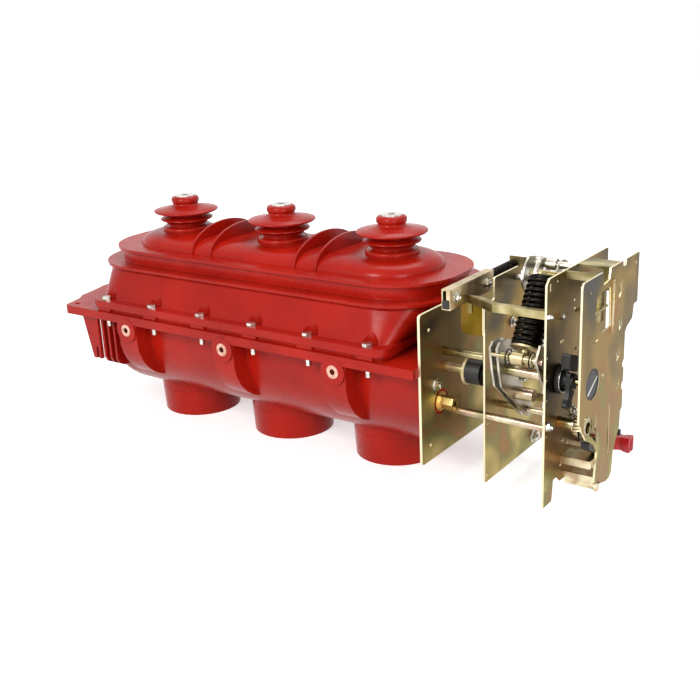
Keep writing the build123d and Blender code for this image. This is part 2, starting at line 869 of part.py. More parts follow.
def coil(radius, wire_r, pitch, turns):
    """Wound spring as one ribbed sleeve with its axis on Z."""
    inner_r = radius - 2 * wire_r
    points = [(inner_r, 0.0), (radius - wire_r, 0.0)]
    for k in range(turns):
        z = k * pitch
        points.append((radius, z + pitch / 2 - wire_r / 2))
        points.append((radius, z + pitch / 2 + wire_r / 2))
        points.append((radius - wire_r, z + pitch))
    points.append((inner_r, turns * pitch))
    return revolve(Plane.XZ * outline_of(points), Axis.Z)


def spring_place():
    """Place and lean of the main spring."""
    return Location((spring_x, *spring_foot), (-(90.0 - spring_lean_deg), 0, 0))


def main_spring():
    """Black main spring, leaning back between the carrier plates and the lever plate."""
    return spring_place() * coil(spring_r, spring_wire_r, spring_pitch, spring_turns)


def spring_seats():
    """Seats of the main spring: one on the spring pin, one on a pin out of the bearing plate."""
    place = spring_place()
    lean = math.radians(90.0 - spring_lean_deg)
    dy = spring_pin_y - spring_foot[0]
    dz = spring_pin_z - spring_foot[1]
    pin_local_y = dy * math.cos(lean) - dz * math.sin(lean)
    pin_local_z = dy * math.sin(lean) + dz * math.cos(lean)
    w = seat_lug_half_w
    low_lug = block(-w, w, pin_local_y - w, pin_local_y + w, pin_local_z, -seat_plate_t / 2)
    low_lug += x_rod(-w, w, pin_local_y, pin_local_z, w)
    low = place * (z_rod(-seat_plate_t, 0, 0, 0, spring_r) + low_lug)
    low -= x_rod(spring_pin_step_x, spring_pin_end_x, spring_pin_y, spring_pin_z, spring_pin_r)
    top_z = spring_turns * spring_pitch
    high = place * (z_rod(top_z, top_z + seat_plate_t, 0, 0, spring_r) + block(-w, w, -w, w, top_z, top_z + seat_pin_rise))
    pin_y = spring_foot[0] + (top_z + seat_pin_rise) * math.sin(lean)
    pin_z = spring_foot[1] + (top_z + seat_pin_rise) * math.cos(lean)
    return [low, high + x_rod(spring_x - w, bearing_plate_x, pin_y, pin_z, seat_pin_r)]


def handle_shaft():
    """Lower operating shaft with the fluted socket for the removable handle."""
    y, z = handle_shaft_y, handle_shaft_z
    x0, x1 = handle_socket_x0, handle_socket_x1
    shaft = x_rod(handle_shaft_x0, x0 + 6, y, z, handle_shaft_r)
    socket = x_rod(x0, x1, y, z, handle_socket_r)
    for k in range(handle_flutes):
        turn = 2 * math.pi * k / handle_flutes
        flute_y = y + handle_socket_r * math.cos(turn)
        flute_z = z + handle_socket_r * math.sin(turn)
        socket -= x_rod(x0 - 1, x1 + 1, flute_y, flute_z, handle_flute_r)
    return shaft + socket - x_hex(x0 + 6, x1 + 1, y, z, handle_hex_r)


def tie_rods():
    """Rods between the plates."""
    mount_face = mount_plate_x + mount_plate_t
    middle_back = middle_plate_x + sheet_t
    bearing_face = bearing_plate_x + sheet_t
    rods = [
        x_rod(mount_face, middle_plate_x, tie_y, tie_z, tie_r),
        x_rod(middle_back, bearing_plate_x, tie_y, tie_z, tie_r),
        x_rod(mount_face, middle_plate_x, roller_y, roller_z, roller_r),
        x_rod(mount_face, middle_plate_x, *rear_tie, spacer_r),
        x_rod(middle_back, bearing_plate_x, *back_tie, spacer_r),
        x_rod(middle_back, bearing_plate_x, carrier_pin_y, carrier_pin_z, carrier_pin_r),
        x_rod(carrier_xs[1] + carrier_t, drum_x1, drum_y, drum_z, drum_r),
    ]
    for y, z in front_spacers:
        rods.append(x_rod(bearing_face, front_plate_x, y, z, spacer_r))
    return rods


def drive_hub():
    """Black drive hub on a boss of the middle plate."""
    return x_rod(hub_x0, hub_x1, hub_y, hub_z, hub_r) + x_rod(hub_x1, middle_plate_x, hub_y, hub_z, hub_boss_r)


def bar_section(depth, z0, height):
    """Level layer of the top bar, from its bent front line back by a depth."""
    y0 = middle_front_y
    points = [
        (bar_start_x, y0),
        (bar_start_x, y0 - bar_t),
        (bar_bend_x, bar_front_y),
        (bearing_plate_x, bar_front_y),
        (bearing_plate_x, bar_front_y + depth),
        (bar_bend_x + depth / 2, bar_front_y + depth),
        (bar_start_x + 2 * depth, y0),
    ]
    return xy_plate(points, z0, height)


def top_bar():
    """Channel bar from the flange of the middle plate to the bearing plate."""
    bar = bar_section(bar_t, bar_z0, bar_z1 - bar_z0)
    bar += bar_section(bar_depth, bar_z0, bar_t)
    bar += bar_section(bar_depth, bar_z1 - bar_t, bar_t)
    y0 = middle_front_y
    return bar + block(bar_start_x, bar_start_x + bar_tab_w, y0 - bar_t, y0, bar_tab_z, bar_z1)


def spring_channel():
    """Galvanised channel on the flange of the middle plate, open to the front between its lips."""
    x0, x1, t = channel_x0, channel_x1, channel_t
    y0, y1 = channel_front_y, channel_rear_y
    z0, z1 = flag_top_z, channel_top_z
    body = block(x0, x1, y0, y1, z0, z1)
    body -= block(x0 + t, x1 - t, y0 + t, y1 - t, z0 + t, z1 - t)
    return body - block(x0 + t, x1 - channel_lip_w, y0 - 1, y0 + t + 1, z0 + t + 3, z1 - t)


def return_spring():
    """Small return spring behind the channel."""
    place = Location((return_spring_x, channel_rear_y, return_spring_z), (-90, 0, 0))
    return place * coil(return_spring_r, return_wire_r, return_pitch, return_turns)


def spring_post():
    """Post on the middle plate whose arm holds the far end of the return spring."""
    y0 = channel_rear_y + return_pitch * return_turns
    x0 = return_spring_x - return_spring_r
    strip_x = middle_plate_x - sheet_t
    strip = block(strip_x, middle_plate_x, y0 - post_w / 2, y0 + post_w / 2, post_foot_z, post_top_z)
    return strip + block(x0, strip_x, y0, y0 + sheet_t, post_arm_z, post_top_z)


def mechanism_screws():
    """Screws on the spring channel and on the face of the bearing plate, and a stud with its nut."""
    face = bearing_plate_x + sheet_t
    screws = [x_rod(channel_x1, channel_x1 + screw_h, y, z, screw_r) for y, z in channel_screws]
    screws += [x_rod(face, face + screw_h, y, z, screw_r) for y, z in bearing_screws]
    stud = x_rod(face, face + stud_h, stud_y, stud_z, screw_r)
    return screws + [stud + x_hex(face, face + stud_h / 2, stud_y, stud_z, screw_r + 2)]


def top_brackets():
    """Hook bracket with its leg, and a flat bar, between the bearing plate and the front plate."""
    x0 = bearing_plate_x + sheet_t
    x1 = front_plate_x
    hook = block(x0, x1, hook_y0, hook_y1, hook_z, hook_z + sheet_t)
    hook += block(hook_leg_x, x1, hook_y0, hook_y0 + sheet_t, hook_leg_z, hook_z)
    return [hook, block(x0, x1, flat_bar_y, flat_bar_y + sheet_t, flat_bar_z0, flat_bar_z1)]


def interlock_slider():
    """Flat slider on the face of the front plate beside the window."""
    points = [(slider_y0, slider_z0), (slider_y1, slider_z0), (slider_y1, slider_z1), (slider_y0, slider_z1)]
    return yz_plate(points, front_plate_x + sheet_t, sheet_t, slider_corner_r)


def bottom_bracket():
    """Folded bracket under the handle socket, with a bar above it."""
    x0 = bearing_plate_x + sheet_t
    floor = block(x0, front_plate_x, floor_y0, floor_y1, floor_z, floor_z + sheet_t)
    lip = block(x0, front_plate_x, floor_y0, floor_y0 + sheet_t, floor_z, lip_top_z)
    bar_z = lip_top_z + floor_bar_gap
    bar = block(x0, front_plate_x, floor_bar_y, floor_bar_y + sheet_t, bar_z, bar_z + floor_bar_h)
    return [floor + lip, bar]


def push_button():
    """Red push button with its stem."""
    lx, ly, lz = button_size
    y0, z0 = button_y - ly / 2, button_z - lz / 2
    head = block(button_x0, button_x0 + lx, y0, y0 + ly, z0, z0 + lz)
    head = fillet(head.edges().filter_by(Axis.Z), button_corner_r)
    return head + x_rod(bearing_plate_x - button_stem_tail, button_x0 + 1, button_y, button_z, button_stem_r)


nodes = {
    "lower_tank": lower_tank(),
    "outlet_contacts": outlet_contacts(),
    "upper_shell": upper_shell(),
    "cover_bolts_front": cover_bolts(-1),
    "cover_bolts_rear": cover_bolts(1),
    "side_inserts_front": side_inserts(-1),
    "side_inserts_rear": side_inserts(1),
    "gas_valve": gas_valve(),
    "mounting_plate": mounting_plate(),
    "plate_bolts": plate_bolts(),
    "middle_plate": middle_plate(),
    "bearing_plate": bearing_plate(),
    "front_plate": front_plate(),
    "main_shaft": main_shaft(),
    "indicator_disc": indicator_disc(),
    "shaft_bearing": shaft_bearing(),
    "latch_lever": latch_lever(),
    "carrier_plates": carrier_plates(),
    "lever_plate": lever_plate(),
    "spring_pin": spring_pin(),
    "main_spring": main_spring(),
    "spring_seats": spring_seats(),
    "handle_shaft": handle_shaft(),
    "tie_rods": tie_rods(),
    "drive_hub": drive_hub(),
    "top_bar": top_bar(),
    "spring_channel": spring_channel(),
    "return_spring": return_spring(),
    "spring_post": spring_post(),
    "mechanism_screws": mechanism_screws(),
    "top_brackets": top_brackets(),
    "interlock_slider": interlock_slider(),
    "bottom_bracket": bottom_bracket(),
    "push_button": push_button(),
}
for name, x in zip(side_names, phase_x):
    nodes["outlet_collar_" + name] = outlet_collar(x)
    nodes["bushing_" + name] = bushing(x)
    nodes["top_terminal_" + name] = top_terminal(x)

for name, shape in nodes.items():
    solid = Compound(children=shape) if isinstance(shape, list) else shape
    export_step(solid, "parts/" + name + ".step")
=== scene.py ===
"""Looks of a three-phase load-break switch module with its spring mechanism.

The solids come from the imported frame. This file gives each one the finish of the real metal or
resin, winds the two springs, and adds the small hardware of the mechanism.
"""
from __future__ import annotations

import logging
import math
from dataclasses import dataclass, field
from enum import Enum

import bmesh
import bpy
from mathutils import Matrix, Vector

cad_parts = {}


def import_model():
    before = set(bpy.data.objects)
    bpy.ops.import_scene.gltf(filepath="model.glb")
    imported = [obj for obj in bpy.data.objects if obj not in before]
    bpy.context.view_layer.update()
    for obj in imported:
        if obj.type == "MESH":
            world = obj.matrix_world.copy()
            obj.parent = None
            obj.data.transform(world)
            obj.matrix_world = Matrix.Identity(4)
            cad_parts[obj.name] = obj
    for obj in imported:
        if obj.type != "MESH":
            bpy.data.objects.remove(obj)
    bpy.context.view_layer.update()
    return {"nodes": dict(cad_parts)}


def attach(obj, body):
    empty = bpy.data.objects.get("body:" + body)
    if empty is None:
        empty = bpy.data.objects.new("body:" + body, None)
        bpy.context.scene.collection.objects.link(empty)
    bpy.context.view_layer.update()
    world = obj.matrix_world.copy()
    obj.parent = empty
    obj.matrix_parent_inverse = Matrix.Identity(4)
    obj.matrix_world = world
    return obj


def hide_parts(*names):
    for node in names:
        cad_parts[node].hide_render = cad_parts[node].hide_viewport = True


MM = 0.001
log = logging.getLogger("switch_module")


class Axis(Enum):
    """Direction of a turned or bored piece."""

    X = "X"
    Y = "Y"
    Z = "Z"


class Body(Enum):
    """Rigid groups of the frame that a piece can ride on."""

    FRAME = "frame"
    MAIN_SHAFT = "main_shaft"
    HANDLE_SHAFT = "handle_shaft"
    PUSH_BUTTON = "push_button"


def linear(code: str) -> tuple[float, float, float, float]:
    """Turns a colour written as sRGB hex into linear values.

    Args:
        code: Six hex digits after a hash.

    Returns:
        Red, green, blue and an alpha of one.
    """
    parts = [int(code[i:i + 2], 16) / 255 for i in (1, 3, 5)]
    parts = [p / 12.92 if p <= 0.04045 else ((p + 0.055) / 1.055) ** 2.4 for p in parts]
    return (parts[0], parts[1], parts[2], 1.0)


def put(tree: bpy.types.NodeTree, kind: str, links: dict | None = None, **settings: object) -> bpy.types.Node:
    """Adds a node with its settings and links.

    Args:
        tree: Node tree that gets the node.
        kind: Blender's name for the type of node.
        links: Input name or number against a value, or the output that feeds it.
        **settings: Properties of the node itself.

    Returns:
        The new node.
    """
    node = tree.nodes.new(kind)
    for name, value in settings.items():
        setattr(node, name, value)
    for key, value in (links or {}).items():
        if isinstance(value, bpy.types.NodeSocket):
            tree.links.new(value, node.inputs[key])
        else:
            node.inputs[key].default_value = value
    return node


def ramp(tree: bpy.types.NodeTree, factor: bpy.types.NodeSocket,
         stops: list[tuple[float, str]]) -> bpy.types.NodeSocket:
    """Spreads hex colours along a factor.

    Args:
        tree: Node tree that gets the ramp.
        factor: Output that drives it.
        stops: Pairs of place and sRGB hex colour.

    Returns:
        The colour output.
    """
    node = put(tree, "ShaderNodeValToRGB", {0: factor})
    elements = node.color_ramp.elements
    while len(elements) < len(stops):
        elements.new(0.5)
    for element, (place, code) in zip(elements, sorted(stops)):
        element.position = place
        element.color = linear(code)
    return node.outputs["Color"]


@dataclass(frozen=True)
class Finish:
    """A finish that a real surface has; each kind below builds its own node tree."""

    name: str

    def start(self) -> tuple[bpy.types.Material, bpy.types.NodeTree, bpy.types.Node, bpy.types.NodeSocket]:
        """Makes the empty material with its shader.

        Returns:
            Material, node tree, shader and the Object coordinates.
        """
        material = bpy.data.materials.new(self.name)
        material.use_nodes = True
        tree = material.node_tree
        tree.nodes.clear()
        out = put(tree, "ShaderNodeOutputMaterial")
        shader = put(tree, "ShaderNodeBsdfPrincipled")
        tree.links.new(shader.outputs[0], out.inputs[0])
        place = put(tree, "ShaderNodeTexCoord").outputs["Object"]
        return material, tree, shader, place


@dataclass(frozen=True)
class CastResin(Finish):
    """Cast epoxy, moulded in a polished steel tool: deep even red with a wet, soft-edged shine."""

    body: str = "#AE1B0C"
    deep: str = "#981309"
    edge_mm: float = 1.6
    orange_peel_mm: float = 7.0
    cloud_mm: float = 90.0

    def build(self) -> bpy.types.Material:
        """Returns the material."""
        material, tree, shader, place = self.start()
        cloud = put(tree, "ShaderNodeTexNoise", {"Vector": place, "Scale": 1 / (self.cloud_mm * MM),
                                                 "Detail": 3.0})
        tint = ramp(tree, cloud.outputs[0], [(0.3, self.deep), (0.65, self.body)])
        tree.links.new(tint, shader.inputs["Base Color"])
        smear = put(tree, "ShaderNodeTexNoise", {"Vector": place, "Scale": 1 / (30 * MM), "Detail": 4.0})
        rough = put(tree, "ShaderNodeMapRange", {0: smear.outputs[0], 1: 0.3, 2: 0.7, 3: 0.2, 4: 0.32})
        tree.links.new(rough.outputs[0], shader.inputs["Roughness"])
        edge = put(tree, "ShaderNodeBevel", {"Radius": self.edge_mm * MM}, samples=4)
        peel = put(tree, "ShaderNodeTexNoise", {"Vector": place, "Scale": 1 / (self.orange_peel_mm * MM),
                                                "Detail": 1.0})
        bump = put(tree, "ShaderNodeBump", {"Height": peel.outputs[0], "Strength": 0.1, "Distance": 0.0006,
                                                 "Normal": edge.outputs[0]})
        tree.links.new(bump.outputs[0], shader.inputs["Normal"])
        shader.inputs["IOR"].default_value = 1.55
        shader.inputs["Specular IOR Level"].default_value = 0.17
        return material


@dataclass(frozen=True)
class PassivatedZinc(Finish):
    """Rolled steel, zinc plated and yellow passivated: an oil-film drift of bronze, rust brown, olive and
    gold over a dull mirror, whose darkest tones are partly painted dark reflection; painted reflection also
    darkens it towards the top, and a painted highlight makes the cut edges pale."""

    # The darkest stops are partly painted dark reflection; the drift between the stops is the film's own
    # colour.
    stops: tuple[tuple[float, str], ...] = (
        (0.24, "#241C04"), (0.36, "#453608"), (0.46, "#6C5618"), (0.54, "#8A6E2C"), (0.61, "#8C6534"),
        (0.68, "#7E763C"), (0.78, "#B09C5C"), (0.9, "#E0D09C"))
    # Pale cream of the painted highlight on the cut edges.
    cut_edge_highlight: str = "#EFE4C0"
    film_mm: float = 95.0
    rolling_mm: float = 1.4
    rough_low: float = 0.32
    rough_high: float = 0.46
    painted_edge_highlight: bool = True
    bend_x_mm: float = -1000.0
    # Heights between which painted dark reflection darkens the film towards the top and lightens it at the
    # foot.
    painted_dark_top_m: float = 0.36
    painted_light_foot_m: float = 0.03

    def edge_highlight_share(self, tree: bpy.types.NodeTree, place: bpy.types.NodeSocket) -> bpy.types.NodeSocket:
        """Finds the cut edges that get the painted highlight: they face across X, or before a bend across Y.

        Args:
            tree: Node tree of the material.
            place: Object coordinates.

        Returns:
            One on a cut edge, nought on the sheet's face.
        """
        facing = put(tree, "ShaderNodeSeparateXYZ", {0: put(tree, "ShaderNodeTexCoord").outputs["Normal"]})
        where = put(tree, "ShaderNodeSeparateXYZ", {0: place})
        bent = put(tree, "ShaderNodeMath", {0: where.outputs[0], 1: self.bend_x_mm * MM},
                   operation="LESS_THAN")
        normal = put(tree, "ShaderNodeMix", {0: bent.outputs[0], 2: facing.outputs[0], 3: facing.outputs[1]})
        flat = put(tree, "ShaderNodeMath", {0: normal.outputs[0]}, operation="ABSOLUTE")
        return put(tree, "ShaderNodeMapRange", {0: flat.outputs[0], 1: 0.5, 2: 0.85, 3: 0.9,
                                                4: 0.0}).outputs[0]

    def build(self) -> bpy.types.Material:
        """Returns the material."""
        material, tree, shader, place = self.start()
        film = put(tree, "ShaderNodeTexNoise", {"Vector": place, "Scale": 1 / (self.film_mm * MM),
                                                "Detail": 1.6, "Roughness": 0.5, "Distortion": 0.3})
        # Painted dark reflection: the film is pushed towards darker stops with height and towards lighter
        # ones near the foot.
        where = put(tree, "ShaderNodeSeparateXYZ", {0: place})
        painted_top_darkening = put(tree, "ShaderNodeMapRange", {0: where.outputs[2], 1: self.painted_light_foot_m,
                                                2: self.painted_dark_top_m, 3: 0.27, 4: -0.14})
        drift = put(tree, "ShaderNodeMath", {0: film.outputs[0], 1: painted_top_darkening.outputs[0]}, operation="ADD")
        colour = ramp(tree, drift.outputs[0], list(self.stops))
        run = put(tree, "ShaderNodeMapping", {"Vector": place, "Scale": (0.4, 1.0, 0.06)})
        grain = put(tree, "ShaderNodeTexNoise", {"Vector": run.outputs[0],
                                                 "Scale": 1 / (self.rolling_mm * MM), "Detail": 3.0})
        streak = put(tree, "ShaderNodeMapRange", {0: grain.outputs[0], 1: 0.25, 2: 0.75, 3: 0.88, 4: 1.08})
        shaded = put(tree, "ShaderNodeMix", {0: 1.0, 6: colour, 7: streak.outputs[0]}, data_type="RGBA",
                     blend_type="MULTIPLY")
        tint = shaded.outputs[2]
        # Painted highlight: the cut edges are mixed towards a pale cream as if they caught the light.
        if self.painted_edge_highlight:
            edge = self.edge_highlight_share(tree, place)
            tint = put(tree, "ShaderNodeMix", {0: edge, 6: tint, 7: linear(self.cut_edge_highlight)},
                       data_type="RGBA").outputs[2]
        tree.links.new(tint, shader.inputs["Base Color"])
        shader.inputs["Metallic"].default_value = 1.0
        dull = put(tree, "ShaderNodeMapRange", {0: film.outputs[0], 1: 0.3, 2: 0.7, 3: self.rough_low,
                                                4: self.rough_high})
        tree.links.new(dull.outputs[0], shader.inputs["Roughness"])
        bump = put(tree, "ShaderNodeBump", {"Height": grain.outputs[0], "Strength": 0.06, "Distance": 0.0003})
        tree.links.new(bump.outputs[0], shader.inputs["Normal"])
        return material


@dataclass(frozen=True)
class PlatedMetal(Finish):
    """A plated or machined metal: one colour that drifts a little, with fine tool marks and dulled spots."""

    light: str
    dark: str
    drift_mm: float = 14.0
    mark_mm: float = 0.6
    rough_low: float = 0.2
    rough_high: float = 0.36
    mark_depth: float = 0.08
    marks_along: tuple[float, float, float] = (1.0, 1.0, 1.0)

    def build(self) -> bpy.types.Material:
        """Returns the material."""
        material, tree, shader, place = self.start()
        drift = put(tree, "ShaderNodeTexNoise", {"Vector": place, "Scale": 1 / (self.drift_mm * MM),
                                                 "Detail": 4.0})
        tint = ramp(tree, drift.outputs[0], [(0.32, self.dark), (0.62, self.light)])
        tree.links.new(tint, shader.inputs["Base Color"])
        shader.inputs["Metallic"].default_value = 1.0
        run = put(tree, "ShaderNodeMapping", {"Vector": place, "Scale": self.marks_along})
        marks = put(tree, "ShaderNodeTexNoise", {"Vector": run.outputs[0], "Scale": 1 / (self.mark_mm * MM),
                                                 "Detail": 2.0})
        rough = put(tree, "ShaderNodeMapRange", {0: marks.outputs[0], 1: 0.3, 2: 0.7, 3: self.rough_low,
                                                 4: self.rough_high})
        tree.links.new(rough.outputs[0], shader.inputs["Roughness"])
        bump = put(tree, "ShaderNodeBump", {"Height": marks.outputs[0], "Strength": self.mark_depth,
                                            "Distance": 0.0002})
        tree.links.new(bump.outputs[0], shader.inputs["Normal"])
        return material


@dataclass(frozen=True)
class Moulded(Finish):
    """A moulded or coated non-metal: even colour under a light grain."""

    light: str
    dark: str
    grain_mm: float = 1.2
    rough_low: float = 0.35
    rough_high: float = 0.5
    grain_depth: float = 0.1
    coat: float = 0.0

    def build(self) -> bpy.types.Material:
        """Returns the material."""
        material, tree, shader, place = self.start()
        drift = put(tree, "ShaderNodeTexNoise", {"Vector": place, "Scale": 1 / (12 * MM), "Detail": 3.0})
        tint = ramp(tree, drift.outputs[0], [(0.35, self.dark), (0.65, self.light)])
        tree.links.new(tint, shader.inputs["Base Color"])
        grain = put(tree, "ShaderNodeTexNoise", {"Vector": place, "Scale": 1 / (self.grain_mm * MM),
                                                 "Detail": 2.0})
        rough = put(tree, "ShaderNodeMapRange", {0: grain.outputs[0], 1: 0.3, 2: 0.7, 3: self.rough_low,
                                                 4: self.rough_high})
        tree.links.new(rough.outputs[0], shader.inputs["Roughness"])
        bump = put(tree, "ShaderNodeBump", {"Height": grain.outputs[0], "Strength": self.grain_depth,
                                            "Distance": 0.0002})
        tree.links.new(bump.outputs[0], shader.inputs["Normal"])
        shader.inputs["Coat Weight"].default_value = self.coat
        shader.inputs["Coat Roughness"].default_value = 0.1
        return material


@dataclass
class Palette:
    """All finishes of the module, built once."""

    resin: bpy.types.Material = field(init=False)
    plate: bpy.types.Material = field(init=False)
    bent_plate: bpy.types.Material = field(init=False)
    bracket: bpy.types.Material = field(init=False)
    insert: bpy.types.Material = field(init=False)
    rod: bpy.types.Material = field(init=False)
    bright_zinc: bpy.types.Material = field(init=False)
    channel: bpy.types.Material = field(init=False)
    fastener: bpy.types.Material = field(init=False)
    brass: bpy.types.Material = field(init=False)
    terminal: bpy.types.Material = field(init=False)
    contact: bpy.types.Material = field(init=False)
    spring: bpy.types.Material = field(init=False)
    black: bpy.types.Material = field(init=False)
    red: bpy.types.Material = field(init=False)
    cream: bpy.types.Material = field(init=False)
    white: bpy.types.Material = field(init=False)

    def __post_init__(self) -> None:
        """Builds each material from its finish."""
        self.resin = CastResin("cast_epoxy_resin").build()
        self.plate = PassivatedZinc("yellow_passivated_sheet").build()
        # The middle plate has a flange that faces the front, so its cut edges, and the painted highlight on
        # them, lie the other way there.
        self.bent_plate = PassivatedZinc("yellow_passivated_flanged_sheet", bend_x_mm=412.0).build()
        # Folded brackets: the same film, seen from all sides, a little lighter.
        self.bracket = PassivatedZinc("yellow_passivated_bracket", film_mm=30.0, painted_edge_highlight=False, stops=(
            (0.24, "#6B6138"), (0.42, "#9C8F62"), (0.54, "#BFB288"), (0.64, "#BFA688"), (0.78,
                                                                                         "#E4DAB8"))).build()
        # Bronze inserts in the side bosses: a rosy ring.
        self.insert = PlatedMetal("bronze_insert", "#E0B3A0", "#B98A76", 8.0, 0.5, 0.3, 0.42).build()
        # Rods have the same film but no cut edges, and roll to a lighter gold.
        self.rod = PassivatedZinc("yellow_passivated_rod", film_mm=40.0, painted_edge_highlight=False, stops=(
            (0.25, "#5E5638"), (0.42, "#857C58"), (0.55, "#A89E78"), (0.66, "#BBA08C"), (0.8, "#D8CCA8")),
                                 rough_low=0.2, rough_high=0.3).build()
        # Bright zinc on channel and carriers: a cool silver with faint spangle.
        self.bright_zinc = PlatedMetal("bright_zinc_plate", "#CFCBBF", "#8E8672", 26.0, 1.6, 0.26, 0.42,
                                       0.06, (1.0, 1.0, 0.1)).build()
        # The spring channel has the same zinc, browned by handling and drawn lengthways.
        self.channel = PlatedMetal("drawn_zinc_channel", "#D9C6A2", "#A08860", 30.0, 1.4, 0.26, 0.4, 0.06,
                                   (1.0, 0.08, 1.0)).build()
        # Zinc screws: small bright heads that pick up white glints.
        self.fastener = PlatedMetal("zinc_plated_screw", "#E2E0D8", "#98948A", 5.0, 0.5, 0.14, 0.3).build()
        # Turned brass of the filling valve: warm yellow with tool rings.
        self.brass = PlatedMetal("turned_brass", "#F0D69C", "#CCA968", 9.0, 0.4, 0.2, 0.34).build()
        # Tinned terminal: pale grey, nearly white under the lamps.
        self.terminal = PlatedMetal("tinned_insert", "#EDEBE6", "#BDB9B0", 8.0, 0.5, 0.22, 0.38).build()
        # Machined copper alloy of the contacts: orange brown inside the outlets.
        self.contact = PlatedMetal("machined_copper_alloy", "#C98A5E", "#8F5A3A", 12.0, 0.5, 0.25,
                                   0.4).build()
        # Black oxide on spring wire: oily black with a narrow shine.
        self.spring = PlatedMetal("black_oxide_wire", "#2A2723", "#141210", 6.0, 0.5, 0.2, 0.34, 0.05).build()
        # Glass-filled nylon: dull black with a grain.
        self.black = Moulded("black_nylon", "#191816", "#0E0D0C", 1.2, 0.38, 0.55, 0.12).build()
        # ABS push button: clean bright red with a slight gloss.
        self.red = Moulded("red_abs", "#D11C26", "#B3121B", 1.5, 0.22, 0.34, 0.05, 0.2).build()
        # Natural nylon washer on the hub: warm cream.
        self.cream = Moulded("cream_nylon", "#D9CBA0", "#BFAF80", 1.5, 0.35, 0.5, 0.06).build()
        # Enamel pointer on the disc: matt white.
        self.white = Moulded("white_enamel", "#F0EEE8", "#DCD8D0", 1.5, 0.4, 0.5, 0.03).build()


